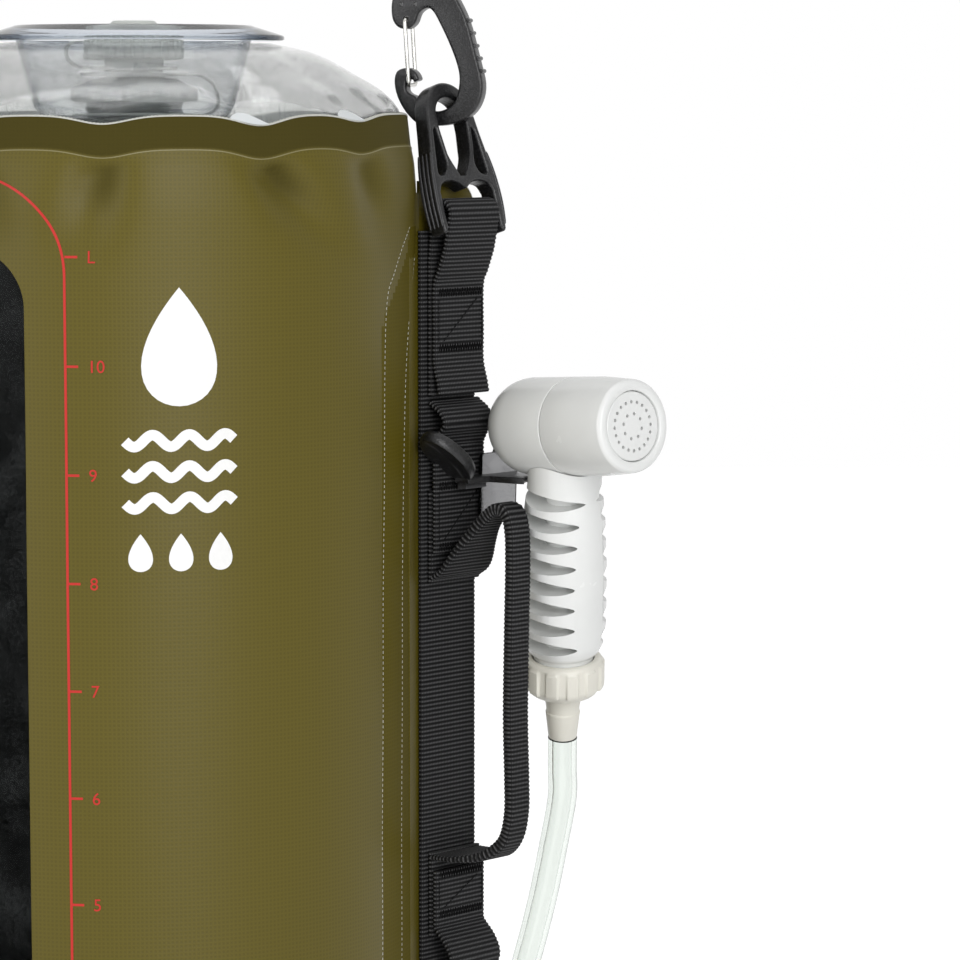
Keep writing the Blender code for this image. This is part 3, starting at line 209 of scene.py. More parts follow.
class FillerSettings(bpy.types.PropertyGroup):
    film: colour("Film", "Colour of the clear top film", (0.68, 0.71, 0.69))
    moulding: colour("Moulding", "Tint of the clear filler well", (0.44, 0.51, 0.60))
    cap: colour("Caps", "Colour of the milky caps and tethers", (0.74, 0.77, 0.74))
    neck: colour("Neck", "Colour of the threaded neck", (0.016, 0.022, 0.034))
    cap_blocks: number("Cap blocks", "Grip blocks round the wide cap", 20, 6)
    spout_ribs: number("Spout cap ribs", "Ribs round the small cap", 32, 6)


class WebbingSettings(bpy.types.PropertyGroup):
    width: size("Width", "Width of the webbing", 0.025)
    thickness: size("Thickness", "Thickness of the webbing", 0.0019, top=0.01)
    pitch: size("Rib pitch", "Distance between the webbing's ribs", 0.0015, top=0.01)
    yarn: colour("Yarn", "Colour of the webbing", (0.0035, 0.0035, 0.0037))
    # Painted highlight: the paler colour painted on the webbing's rib crowns.
    worn: colour("Crown highlight", "Colour of the yarn's rubbed crowns", (0.160, 0.160, 0.164))


class HardwareSettings(bpy.types.PropertyGroup):
    moulded: colour("Moulded black", "Colour of rings, carabiners, holder and tap", (0.0075, 0.0075, 0.0080))
    wire: colour("Wire", "Colour of the gate's bent wire", (0.62, 0.61, 0.58))
    blade: colour("Blade", "Colour of the holder's smoky blade", (0.10, 0.10, 0.105))


class HandsetSettings(bpy.types.PropertyGroup):
    white: colour("White", "Colour of the handset", (0.86, 0.87, 0.86))
    ivory: colour("Ivory", "Colour of the nut and the tail", (0.82, 0.80, 0.72))
    rubber: colour("Rubber", "Colour of washers and gaskets", (0.02, 0.02, 0.02))
    slots: number("Slots", "Slots in the grip", 8, 1)
    slot_pitch: size("Slot pitch", "Distance between slots", 0.0076)
    outer_jets: number("Outer jets", "Holes in the outer ring", 20, 1)
    inner_jets: number("Inner jets", "Holes in the inner ring", 8, 1)


class HoseSettings(bpy.types.PropertyGroup):
    radius: size("Radius", "Outside radius of the hose", 0.0052, top=0.05)
    bore: size("Bore", "Inside radius of the hose", 0.0034, top=0.05)
    vinyl: colour("Vinyl", "Tint of the clear hose", (0.55, 0.62, 0.56))


class ShowerSettings(bpy.types.PropertyGroup):
    stage: PointerProperty(name="Stage", description="Camera and light", type=StageSettings)
    bag: PointerProperty(name="Bag", description="The fabric bag and its print", type=BagSettings)
    filler: PointerProperty(name="Filler", description="Top film, well and caps", type=FillerSettings)
    webbing: PointerProperty(name="Webbing", description="Side straps and loops", type=WebbingSettings)
    hardware: PointerProperty(name="Hardware", description="Rings, carabiners, holder", type=HardwareSettings)
    handset: PointerProperty(name="Handset", description="Shower handset", type=HandsetSettings)
    hose: PointerProperty(name="Hose", description="Clear hose", type=HoseSettings)


def settings():
    return bpy.context.scene.portable_shower


# Meshes


def tidy_mesh(mesh, sharp=38.0, join_within=0.000001):
    work = bmesh.new()
    work.from_mesh(mesh)
    bmesh.ops.remove_doubles(work, verts=work.verts, dist=join_within)
    bmesh.ops.recalc_face_normals(work, faces=work.faces)
    work.to_mesh(mesh)
    work.free()
    mesh.shade_smooth()
    mesh.set_sharp_from_angle(angle=math.radians(sharp))
    return mesh


def show(name, mesh, *finishes, sharp=38.0):
    for finish in finishes:
        mesh.materials.append(finish)
    obj = bpy.data.objects.new(name, tidy_mesh(mesh, sharp))
    bpy.context.scene.collection.objects.link(obj)
    return obj


def solid(name, points, faces, *finishes, turn=None, sharp=38.0):
    mesh = bpy.data.meshes.new(name)
    mesh.from_pydata([tuple(point) for point in points], [], faces)
    if turn is not None:
        mesh.transform(turn)
    return show(name, mesh, *finishes, sharp=sharp)


def grid_faces(rows, columns, close_rows=False, close_columns=True):
    """Quads between the points of a grid stored row by row."""
    faces = []
    for row in range(rows if close_rows else rows - 1):
        for column in range(columns if close_columns else columns - 1):
            this, after = row * columns, (row + 1) % rows * columns
            beside = (column + 1) % columns
            faces.append((this + column, this + beside, after + beside, after + column))
    return faces


def tube_faces(rows, columns):
    """The faces of a tube stored ring by ring, with both of its ends closed."""
    last = (rows - 1) * columns
    ends = [tuple(range(columns))[::-1], tuple(last + i for i in range(columns))]
    return grid_faces(rows, columns) + ends


def run_at(path, i):
    """The direction in which a line of points runs at one of them."""
    return (path[min(i + 1, len(path) - 1)] - path[max(i - 1, 0)]).normalized()


def eased(points, radius, steps=3, closed=True):
    """The outline with its corners rounded, each by no more than its sides allow."""
    points = [Vector(point) for point in points]
    out = []
    for i, corner in enumerate(points):
        if not closed and i in (0, len(points) - 1):
            out.append(corner)
            continue
        back = points[i - 1] - corner
        on = points[(i + 1) % len(points)] - corner
        if back.normalized().dot(on.normalized()) < STRAIGHT:
            out.append(corner)
            continue
        trim = min(radius, 0.45 * back.length, 0.45 * on.length)
        start, end = corner + back.normalized() * trim, corner + on.normalized() * trim
        for step in range(steps + 1):
            t = step / steps
            out.append(start * (1 - t) ** 2 + corner * (2 * t * (1 - t)) + end * t**2)
    return out


def lathe(name, profile, finish, steps=96, turn=None, closed=True, ease=0.0003, swell=None, sharp=38.0):
    """A (radius, height) outline spun round Z. swell(angle, radius, height) is added to the radius."""
    profile = eased(profile, ease, closed=closed) if ease else [Vector(point) for point in profile]
    points, rings = [], []
    for radius, height in profile:
        if radius < 0.0000001:
            rings.append([len(points)])
            points.append((0, 0, height))
            continue
        ring = []
        for step in range(steps):
            angle = 2 * math.pi * step / steps
            reach = radius + (swell(angle, radius, height) if swell else 0.0)
            ring.append(len(points))
            points.append((reach * math.cos(angle), reach * math.sin(angle), height))
        rings.append(ring)
    faces = []
    for i in range(len(rings) if closed else len(rings) - 1):
        low, high = rings[i], rings[(i + 1) % len(rings)]
        if len(low) == 1 and len(high) == 1:
            continue
        for step in range(steps):
            after = (step + 1) % steps
            if len(low) == 1:
                faces.append((low[0], high[step], high[after]))
            elif len(high) == 1:
                faces.append((low[step], low[after], high[0]))
            else:
                faces.append((low[step], low[after], high[after], high[step]))
    return solid(name, points, faces, finish, turn=turn, sharp=sharp)


def smooth_path(points, per_span, closed=False):
    """Points on a Catmull-Rom curve through the given points."""
    points = [Vector(point) for point in points]
    if closed:
        padded = [points[-1], *points, points[0], points[1]]
        spans = len(points)
    else:
        padded = [2 * points[0] - points[1], *points, 2 * points[-1] - points[-2]]
        spans = len(points) - 1
    path = []
    for i in range(spans):
        a, b, c, d = padded[i : i + 4]
        for step in range(per_span):
            t = step / per_span
            bend = (2 * a - 5 * b + 4 * c - d) * t**2 + (3 * b - a - 3 * c + d) * t**3
            path.append(0.5 * (2 * b + (c - a) * t + bend))
    if not closed:
        path.append(points[-1])
    return path


def even_path(points, step):
    """The same line with points an even step apart, and how far along it each one is."""
    points = [Vector(point) for point in points]
    lengths = [0.0]
    for a, b in zip(points, points[1:]):
        lengths.append(lengths[-1] + (b - a).length)
    count = max(2, round(lengths[-1] / step))
    out, at = [], 0
    for i in range(count + 1):
        wanted = lengths[-1] * i / count
        while at < len(points) - 2 and lengths[at + 1] < wanted:
            at += 1
        span = max(lengths[at + 1] - lengths[at], 1e-12)
        out.append((points[at].lerp(points[at + 1], min(1.0, (wanted - lengths[at]) / span)), wanted))
    return out


def sweep(name, path, section, finish, turn=None, grow=None):
    """A closed (across, up) section carried along a 3D path without twist. grow(share) scales it."""
    path = [Vector(point) for point in path]
    points = []
    side = None
    for i, at in enumerate(path):
        along = run_at(path, i)
        if side is None:
            side = along.orthogonal().normalized()
        side = (side - side.dot(along) * along).normalized()
        up = along.cross(side)
        scale = grow(i / (len(path) - 1)) if grow else 1.0
        points += [at + side * (x * scale) + up * (y * scale) for x, y in section]
    return solid(name, points, tube_faces(len(path), len(section)), finish, turn=turn)


def circle(radius, sides):
    turns = [2 * math.pi * i / sides for i in range(sides)]
    return [(radius * math.cos(turn), radius * math.sin(turn)) for turn in turns]


def on_circle(radius, degrees):
    return radius * math.cos(math.radians(degrees)), radius * math.sin(math.radians(degrees))


def arc(centre, radius, start, end, count):
    """Points on an arc, angles in degrees, both ends included."""
    turns = [math.radians(start + (end - start) * i / (count - 1)) for i in range(count)]
    return [(centre[0] + radius * math.cos(turn), centre[1] + radius * math.sin(turn)) for turn in turns]


def mesh_of_curve(curve):
    """The mesh that a curve shows. The curve is used up."""
    holder = bpy.data.objects.new(curve.name, curve)
    bpy.context.scene.collection.objects.link(holder)
    bpy.context.view_layer.update()
    mesh = bpy.data.meshes.new_from_object(holder.evaluated_get(bpy.context.evaluated_depsgraph_get()))
    bpy.data.objects.remove(holder)
    bpy.data.curves.remove(curve)
    mesh.materials.clear()
    return mesh


def slab(name, outlines, thickness, finish, edge=0.0, steps=3, turn=None):
    """2D outlines, later ones holes, extruded half the thickness each way along Z with rounded edges."""
    curve = bpy.data.curves.new(name, "CURVE")
    curve.dimensions = "2D"
    curve.fill_mode = "BOTH"
    curve.extrude = thickness / 2 - edge
    curve.bevel_depth = edge
    curve.bevel_resolution = steps
    curve.offset = -edge
    for outline in outlines:
        spline = curve.splines.new("POLY")
        spline.points.add(len(outline) - 1)
        for point, at in zip(spline.points, outline):
            point.co = (at[0], at[1], 0, 1)
        spline.use_cyclic_u = True
    mesh = mesh_of_curve(curve)
    if turn is not None:
        mesh.transform(turn)
    return show(name, mesh, finish)


def rod(name, radius, length, finish, turn=None, sides=32, ease=0.0):
    """A round bar centred on its own origin, along Z."""
    half = length / 2
    profile = [(0, half), (radius, half), (radius, -half), (0, -half)]
    return lathe(name, profile, finish, sides, turn, False, ease)


def carve(obj, other, operation="DIFFERENCE", sharp=38.0):
    """Cut, join or intersect obj with another object, which is used up."""
    change = obj.modifiers.new("carve", "BOOLEAN")
    change.operation = operation
    change.object = other
    change.solver = "EXACT"
    change.material_mode = "INDEX"
    bpy.context.view_layer.update()
    graph = bpy.context.evaluated_depsgraph_get()
    held = obj.evaluated_get(graph)
    mesh = bpy.data.meshes.new_from_object(held, preserve_all_data_layers=True, depsgraph=graph)
    obj.modifiers.clear()
    obj.data = mesh
    bpy.data.objects.remove(other)
    tidy_mesh(mesh, sharp)
    return obj


def merge(name, pieces):
    """Several closed shells of one moulding as one mesh."""
    work = bmesh.new()
    for piece in pieces:
        work.from_mesh(piece.data)
    first = pieces[0]
    mesh = bpy.data.meshes.new(name)
    work.to_mesh(mesh)
    work.free()
    finishes = list(first.data.materials)
    for piece in pieces:
        bpy.data.objects.remove(piece)
    return show(name, mesh, *finishes)


def settle(obj, body, slot, *nodes):
    """Put a finished piece on its body and in place of its CAD nodes. The slot is not used."""
    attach(obj, body)
    if nodes:
        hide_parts(*nodes)
    return obj


def smoothstep(value, low, high):
    t = min(1.0, max(0.0, (value - low) / (high - low)))
    return t * t * (3 - 2 * t)


def lay_cloth(mesh, rule):
    """A map in metres named cloth. rule gives (along, up) for a point and its face's centre."""
    layer = mesh.uv_layers.get("cloth") or mesh.uv_layers.new(name="cloth")
    for face in mesh.polygons:
        centre = face.center
        for loop in face.loop_indices:
            layer.data[loop].uv = rule(mesh.vertices[mesh.loops[loop].vertex_index].co, centre)
    return mesh


# Finishes


class Finish:
    """A node material, built up from its shader."""

    def __init__(self, name, colour, roughness, **sockets):
        self.material = bpy.data.materials.new(name)
        self.material.use_nodes = True
        self.tree = self.material.node_tree
        self.shader = self.tree.nodes["Principled BSDF"]
        self.put(self.shader, {"Base Color": colour, "Roughness": roughness})
        for socket, value in sockets.items():
            self.put(self.shader, {socket.replace("_", " "): value})

    def put(self, node, inputs):
        for socket, value in inputs.items():
            target = node.inputs[socket]
            if isinstance(value, bpy.types.NodeSocket):
                self.tree.links.new(value, target)
            elif hasattr(value, "__len__") and target.type == "RGBA":
                target.default_value = (*tuple(value)[:3], 1.0)
            else:
                target.default_value = value

    def add(self, kind, inputs=None, **facts):
        node = self.tree.nodes.new("ShaderNode" + kind)
        for fact, value in facts.items():
            setattr(node, fact, value)
        self.put(node, inputs or {})
        return node

    def place(self):
        return self.add("TexCoord").outputs["Object"]

    def cloth(self):
        return self.add("UVMap", uv_map="cloth").outputs["UV"]

    def grain(self, scale, detail=3.0, at=None):
        node = self.add("TexNoise", {"Vector": at or self.place(), "Scale": scale, "Detail": detail})
        return node.outputs["Fac"]

    def waves(self, pitch, direction="X", at=None, distortion=0.0):
        facts = {"Vector": at or self.cloth(), "Scale": math.pi / (10 * pitch), "Distortion": distortion}
        return self.add("TexWave", facts, bands_direction=direction).outputs["Fac"]

    def sums(self, operation, a, b=0.5):
        return self.add("Math", {0: a, 1: b}, operation=operation).outputs[0]

    def span(self, value, low, high, start=0.0, end=1.0):
        facts = {"Value": value, "From Min": start, "From Max": end, "To Min": low, "To Max": high}
        return self.add("MapRange", facts).outputs["Result"]

    def blend(self, factor, a, b):
        """A mix of two colours. Sockets 6 and 7 and output 2 are the Mix node's colours."""
        node = self.add("Mix", {0: factor}, data_type="RGBA")
        self.put(node, {6: a, 7: b})
        return node.outputs[2]

    def stretched(self, **facts):
        """Object coordinates, stretched or turned."""
        return self.add("Mapping", {"Vector": self.place(), **facts}).outputs[0]

    def edge_on(self, face, rim, start, end):
        """One colour seen square on and another seen along the surface."""
        facing = self.add("LayerWeight", {"Blend": 0.5}).outputs["Facing"]
        return self.blend(self.span(facing, 0.0, 1.0, start, end), face, rim)

    def depth(self, tint, density):
        """A tint that deepens with the way that light runs through the piece."""
        node = self.add("VolumeAbsorption", {"Color": tint, "Density": density})
        self.tree.links.new(node.outputs[0], self.tree.nodes["Material Output"].inputs["Volume"])

    def bump(self, height, distance, strength=1.0, normal=None):
        facts = {"Height": height, "Distance": distance, "Strength": strength}
        if normal is not None:
            facts["Normal"] = normal
        return self.add("Bump", facts).outputs["Normal"]

    def shade(self, **inputs):
        self.put(self.shader, {socket.replace("_", " "): value for socket, value in inputs.items()})
        return self.material


def scaled(value, factor):
    return tuple(part * factor for part in value)


def fabric_finish(name, sheen):
    bag = settings().bag
    made = Finish(name, bag.fabric, 0.46, Specular_IOR_Level=sheen)
    across = made.waves(bag.weave, "X")
    up = made.waves(bag.weave, "Y")
    weave = made.sums("MAXIMUM", across, up)
    band_and_painted_shade = made.add("Attribute", attribute_name="band_and_painted_shade").outputs["Fac"]
    patches = made.grain(9.0, 2.0)
    fine = made.grain(1800.0, 2.0)
    tone = made.blend(patches, scaled(bag.fabric, 0.93), scaled(bag.fabric, 1.07))
    threads = made.span(weave, 0.84, 1.05)
    tone = made.add("VectorMath", {0: tone, 1: threads}, operation="MULTIPLY").outputs[0]
    # Painted shade: the colour is darkened on the weld band, at the sides and in the puckers under the rim's
    # dips.
    tone = made.blend(band_and_painted_shade, tone, scaled(bag.fabric, 0.44))
    rough = made.span(made.sums("MULTIPLY", patches, fine), 0.42, 0.52)
    rough = made.sums("MAXIMUM", rough, made.span(band_and_painted_shade, 0.40, 0.95))
    normal = made.bump(weave, 0.00016, 0.14)
    normal = made.bump(fine, 0.00004, 0.3, normal)
    return made.shade(Base_Color=tone, Roughness=rough, Normal=normal)


def lining_finish():
    bag = settings().bag
    made = Finish("bag_lining", bag.lining, 0.6)
    height = made.add("SeparateXYZ", {0: made.place()}).outputs["Z"]
    tape = made.span(height, 0.0, 1.0, 0.4105, 0.4120)
    fuzz = made.grain(420.0, 5.0)
    dark = made.blend(fuzz, scaled(bag.lining, 0.6), scaled(bag.lining, 1.9))
    tone = made.blend(tape, dark, (0.74, 0.77, 0.78))
    return made.shade(Base_Color=tone, Normal=made.bump(fuzz, 0.0003, 0.5))


def cut_edge_finish():
    bag = settings().bag
    made = Finish("cut_edge", bag.cut_edge, 0.75)
    frays = made.grain(2600.0, 3.0)
    tone = made.blend(frays, scaled(bag.cut_edge, 0.55), scaled(bag.cut_edge, 1.2))
    return made.shade(Base_Color=tone, Normal=made.bump(frays, 0.0002, 0.8))


def print_finish(name, ink):
    made = Finish(name, ink, 0.5)
    weave = made.waves(settings().bag.weave, "Y", at=made.place())
    lighter_by = made.grain(900.0, 4.0)
    tone = made.blend(lighter_by, scaled(ink, 0.94), scaled(ink, 1.03))
    return made.shade(Base_Color=tone, Normal=made.bump(weave, 0.00006, 0.3))


def film_finish():
    film = settings().filler.film
    made = Finish("clear_film", film, 0.10, IOR=1.3, Transmission_Weight=1.0)
    streak = made.grain(38.0, 4.0, made.stretched(Scale=(1.0, 1.0, 3.0)))
    cloud = made.grain(260.0, 3.0)
    # Painted reflection: thin diagonal streaks where the film is made more opaque and paler.
    reflection_streak_noise = made.grain(150.0, 4.0, made.stretched(Scale=(6.0, 1.0, 1.0), Rotation=(0.3, 0.2, 0.7)))
    painted_reflection_streaks = made.span(reflection_streak_noise, 0.0, 1.0, 0.60, 0.68)
    tone = made.blend(streak, scaled(film, 0.90), scaled(film, 1.10))
    alpha = made.span(streak, 0.34, 0.42, 0.35, 0.70)
    alpha = made.sums("ADD", alpha, made.sums("MULTIPLY", painted_reflection_streaks, 0.20))
    normal = made.bump(streak, 0.0012, 0.35)
    rough = made.span(cloud, 0.06, 0.14)
    return made.shade(Base_Color=tone, Alpha=alpha, Roughness=rough, Normal=normal, Specular_IOR_Level=0.35)


def window_finish():
    made = Finish("window_film", (0.070, 0.075, 0.075), 0.22, IOR=1.45, Specular_IOR_Level=0.07)
    smear = made.grain(55.0, 4.0)
    specks = made.grain(900.0, 4.0)
    alpha = made.span(made.sums("MULTIPLY", smear, specks), 0.02, 0.22, 0.2, 0.45)
    rough = made.span(smear, 0.18, 0.30)
    return made.shade(Alpha=alpha, Roughness=rough, Normal=made.bump(smear, 0.0010, 0.3))


def moulding_finish():
    """Clear vinyl: the tint deepens where light runs far through it, as at the edges."""
    tint = settings().filler.moulding
    made = Finish("clear_moulding", (0.93, 0.95, 0.97), 0.07, IOR=1.3, Transmission_Weight=1.0)
    edge = made.edge_on((0.97, 0.975, 0.975), (0.10, 0.16, 0.25), 0.62, 0.97)
    flow = made.grain(70.0, 3.0)
    made.depth(tint, 70.0)
    rough = made.span(flow, 0.04, 0.12)
    return made.shade(Base_Color=edge, Roughness=rough, Normal=made.bump(flow, 0.0008, 0.2))


def milky_finish(name, tone):
    made = Finish(name, tone, 0.42, Transmission_Weight=0.25, IOR=1.48, Subsurface_Weight=0.2)
    made.shader.inputs["Subsurface Radius"].default_value = (0.003, 0.003, 0.003)
    made.shader.inputs["Subsurface Scale"].default_value = 1.0
    fine = made.grain(700.0, 4.0)
    flow = made.grain(60.0, 3.0)
    shade = made.blend(flow, scaled(tone, 0.88), scaled(tone, 1.08))
    rough = made.span(fine, 0.34, 0.52)
    return made.shade(Base_Color=shade, Roughness=rough, Normal=made.bump(fine, 0.00008, 0.4))


def moulded_finish(name, tone, roughness, lighter_by, grain=0.00006, clear=0.5, swirl=0.15, speckle=1.0):
    """Moulded plastic: a fine grain, faint flow patches, specks that are paler by a factor, and edges painted
    paler as a highlight.
    """
    made = Finish(name, tone, roughness, Specular_IOR_Level=clear)
    fine = made.grain(1600.0, 3.0)
    flow = made.grain(75.0, 3.0)
    edges = made.span(made.add("NewGeometry").outputs["Pointiness"], 0.0, 1.0, 0.53, 0.62)
    shade = made.blend(flow, scaled(tone, 0.95), scaled(tone, 1.04))
    if speckle > 1:
        shade = made.blend(made.span(fine, 0.0, 1.0, 0.45, 0.75), shade, scaled(tone, speckle))
    # Painted highlight: convex edges are painted paler by the given factor.
    highlit = tuple(min(1.0, part * lighter_by) for part in tone)
    shade = made.blend(made.sums("MULTIPLY", edges, 0.75), shade, highlit)
    rough = made.span(flow, roughness - 0.05, roughness + 0.07)
    normal = made.bump(fine, grain, 0.5)
    normal = made.bump(flow, 0.0006, swirl, normal)
    return made.shade(Base_Color=shade, Roughness=rough, Normal=normal)


def webbing_finish():
    """Woven webbing: the mesh has its ribs, and this has the threads across them and a painted highlight on
    their crowns.
    """
    webbing = settings().webbing
    made = Finish("black_webbing", webbing.yarn, 0.75, Specular_IOR_Level=0.16)
    ribs = made.waves(webbing.pitch, "Y")
    threads = made.waves(webbing.pitch / 2, "X")
    fray = made.grain(2400.0, 3.0)
    dots = made.sums("MULTIPLY", made.span(threads, 0.25, 1.0), made.span(fray, 0.3, 1.2))
    crown = made.sums("MULTIPLY", made.sums("POWER", ribs, 2.2), dots)
    # Painted highlight: the rib crowns are painted paler.
    tone = made.blend(crown, webbing.yarn, webbing.worn)
    normal = made.bump(made.sums("MULTIPLY", threads, ribs), 0.00022, 0.7)
    normal = made.bump(fray, 0.00008, 0.4, normal)
    return made.shade(Base_Color=tone, Roughness=made.span(fray, 0.66, 0.84), Normal=normal)


def wire_finish():
    wire = settings().hardware.wire
    made = Finish("steel_wire", wire, 0.22, Metallic=1.0)
    lines = made.grain(3000.0, 3.0, made.stretched(Scale=(1.0, 1.0, 0.05)))
    tone = made.blend(lines, scaled(wire, 0.85), scaled(wire, 1.1))
    rough = made.span(lines, 0.16, 0.32)
    return made.shade(Base_Color=tone, Roughness=rough, Normal=made.bump(lines, 0.00003, 0.4))


def clear_finish(name, tint, roughness, density, core, rim):
    """Clear plastic that looks deeper where it is seen edge on."""
    made = Finish(name, (0.97, 0.98, 0.97), roughness, IOR=1.46, Transmission_Weight=1.0)
    edge = made.edge_on(core, rim, 0.50, 0.92)
    made.depth(tint, density)
    flow = made.grain(120.0, 3.0)
    rough = made.span(flow, roughness * 0.6, roughness * 1.6)
    return made.shade(Base_Color=edge, Roughness=rough, Normal=made.bump(flow, 0.0006, 0.2))


FINISHES = {}


def finish(name):
    """The material of that name, made the first time it is asked for."""
    shower = settings()
    clear_rim, smoky_rim = ((0.92, 0.94, 0.92), (0.20, 0.24, 0.22)), ((0.55, 0.55, 0.56), (0.25, 0.25, 0.26))
    black, white, ivory = shower.hardware.moulded, shower.handset.white, shower.handset.ivory
    makers = {
        "fabric": lambda: fabric_finish("coated_fabric", 0.27),
        "side_patch": lambda: fabric_finish("side_patch_fabric", 0.05),
        "lining": lining_finish,
        "cut_edge": cut_edge_finish,
        # Painted highlight under the weld band, a paler olive than the fabric.
        "painted_highlight_line": lambda: print_finish("painted_highlight_line", (0.22, 0.195, 0.085)),
        "scale_ink": lambda: print_finish("scale_ink", shower.bag.scale_print),
        "motif_ink": lambda: print_finish("motif_ink", shower.bag.motif_print),
        "film": film_finish,
        "window": window_finish,
        "moulding": moulding_finish,
        "cap": lambda: milky_finish("milky_caps", shower.filler.cap),
        "neck": lambda: moulded_finish("filler_neck", shower.filler.neck, 0.30, 1.8),
        "rubber": lambda: moulded_finish("seal_rubber", shower.handset.rubber, 0.70, 1.3),
        "webbing": webbing_finish,
        # Painted highlight: the black moulding's edges are painted ten times paler.
        "black": lambda: moulded_finish("moulded_black", black, 0.30, 10.0, 0.00024, 0.40, 0.10, 4.5),
        "wire": wire_finish,
        "white": lambda: moulded_finish("white_plastic", white, 0.24, 1.04, 0.00001, 0.5, 0.03),
        "ivory": lambda: moulded_finish("ivory_plastic", ivory, 0.36, 1.06, 0.00004, 0.5, 0.05),
        "hose": lambda: clear_finish("clear_hose", shower.hose.vinyl, 0.05, 70.0, *clear_rim),
        "blade": lambda: clear_finish("smoky_blade", shower.hardware.blade, 0.12, 500.0, *smoky_rim),
    }
    if name not in FINISHES:
        FINISHES[name] = makers[name]()
    return FINISHES[name]


# The bag's surface

# Each dip of the welded mouth: degrees round from the front, how far the rim drops, how deep the pucker is
# under it, and how many degrees the pucker leans by its lower end
DIPS = (
    (1.2, 0.0026, 0.0046, -3.0),
    (33.0, 0.0032, 0.0056, 9.0),
    (59.5, 0.0022, 0.0034, 5.0),
    (95.0, 0.0012, 0.0008, 0.0),
    (130.0, 0.0024, 0.0044, -6.0),
    (162.0, 0.0020, 0.0046, 4.0),
    (196.0, 0.0026, 0.0042, -4.0),
    (229.0, 0.0020, 0.0050, 7.0),
    (265.0, 0.0012, 0.0008, 0.0),
    (301.0, 0.0025, 0.0044, -7.0),
    (332.0, 0.0019, 0.0040, 4.0),
)
DIP_SPREAD = 6.5
DEEPEST_PUCKER = 0.0056
BAND_DEPTH = 0.0108
PATCH_HALF_TURN = 25.0
PATCH_TOP = 0.387
FOLD_PLACES = (33.0, 59.5)
FOLD_TALL = 0.0031


def turn_between(a, b):
    return (a - b + 180.0) % 360.0 - 180.0


def rim_drop(degrees):
    return sum(drop * math.exp(-((turn_between(degrees, at) / DIP_SPREAD) ** 2)) for at, drop, _, _ in DIPS)


def rim_height(degrees):
    return settings().bag.height - rim_drop(degrees)


def bag_radius(degrees, height):
    """The outside radius of the fabric: drawn in at the mouth, puckered under each dip of the rim."""
    bag = settings().bag
    radius = bag.radius
    if height > SHOULDER_HEIGHT:
        share_up = (height - SHOULDER_HEIGHT) / (bag.height - SHOULDER_HEIGHT)
        radius -= (bag.radius - MOUTH_RADIUS) * share_up**1.4
    below = rim_height(degrees) - BAND_DEPTH - height
    if below < 0:
        radius -= 0.00035 * smoothstep(-below, -0.0002, 0.0012)
    if -0.004 < below < 0.055:
        for at, _, depth, lean in DIPS:
            centre = at + lean * max(0.0, below) / 0.020
            width = 4.2 + 90.0 * max(0.0, below)
            away = turn_between(degrees, centre) / width
            if abs(away) < 3:
                reach = smoothstep(below, -0.002, 0.0065) * (1 - smoothstep(below, 0.010, 0.042))
                radius -= depth * math.exp(-away * away) * reach
        radius += 0.0007 * smoothstep(below, -0.0004, 0.006) * (1 - smoothstep(below, 0.012, 0.050))
    if height < 0.012:
        radius -= 0.0008 * (1 - height / 0.012) ** 2
    turn = math.radians(degrees)
    rumple = noise.noise(Vector((math.sin(turn) * 2.2, math.cos(turn) * 2.2, height * 17.0)))
    radius += 0.00028 * rumple * (1 - smoothstep(height, 0.400, 0.412))
    return radius


def crease_shade(point):
    """How far the fabric's colour is darkened: painted shade on the weld band, at the sides and in each
    pucker under the rim.
    """
    degrees = math.degrees(math.atan2(point.x, -point.y))
    below = rim_height(degrees) - BAND_DEPTH - point.z
    # The weld band: its own darker tone, deepened by painted shade for the sheen it lacks.
    if below < 0:
        return 0.85 * smoothstep(-below, -0.0001, 0.0008)
    # Painted shade at the sides of the bag, where it turns away from the front.
    off_side = abs(abs(degrees) - 90.0)
    shade = 0.34 * (1 - smoothstep(off_side, 10.0, 34.0))
    # Painted shade in the pucker under each dip of the rim.
    for at, _, depth, lean in DIPS:
        centre = at + lean * below / 0.020 + 1.5
        away = turn_between(degrees, centre) / (2.6 + 60.0 * below)
        reach = smoothstep(below, 0.0, 0.004) * (1 - smoothstep(below, 0.008, 0.022))
        shade += 0.75 * depth / DEEPEST_PUCKER * math.exp(-away * away) * reach
    return min(0.8, shade)


def on_bag(degrees, height, lift=0.0):
    """A point on the fabric, or lift metres outside it."""
    turn = math.radians(degrees)
    reach = bag_radius(degrees, height) + lift
    return Vector((reach * math.sin(turn), -reach * math.cos(turn), height))


def bag_arc(metres):
    """Degrees round the bag for a distance along its surface."""
    return math.degrees(metres / settings().bag.radius)


def window_outline(grow=0.0, count=40):
    """The window's edge as (metres along the surface from the window's centre, height)."""
    half = WINDOW_HALF_WIDTH
    top = arc((0, WINDOW_TOP - half), half + grow, 0, 180, count)
    bottom = arc((0, WINDOW_BOTTOM + half), half + grow, 180, 360, count)
    return top + bottom


def on_side_patch(point):
    """Whether a point of the fabric lies on one of the patches welded on at the sides."""
    degrees = math.degrees(math.atan2(point.x, -point.y))
    reach = PATCH_HALF_TURN - 15.0 * smoothstep(point.z, 0.350, PATCH_TOP)
    return abs(abs(degrees) - 90.0) < reach and point.z < PATCH_TOP


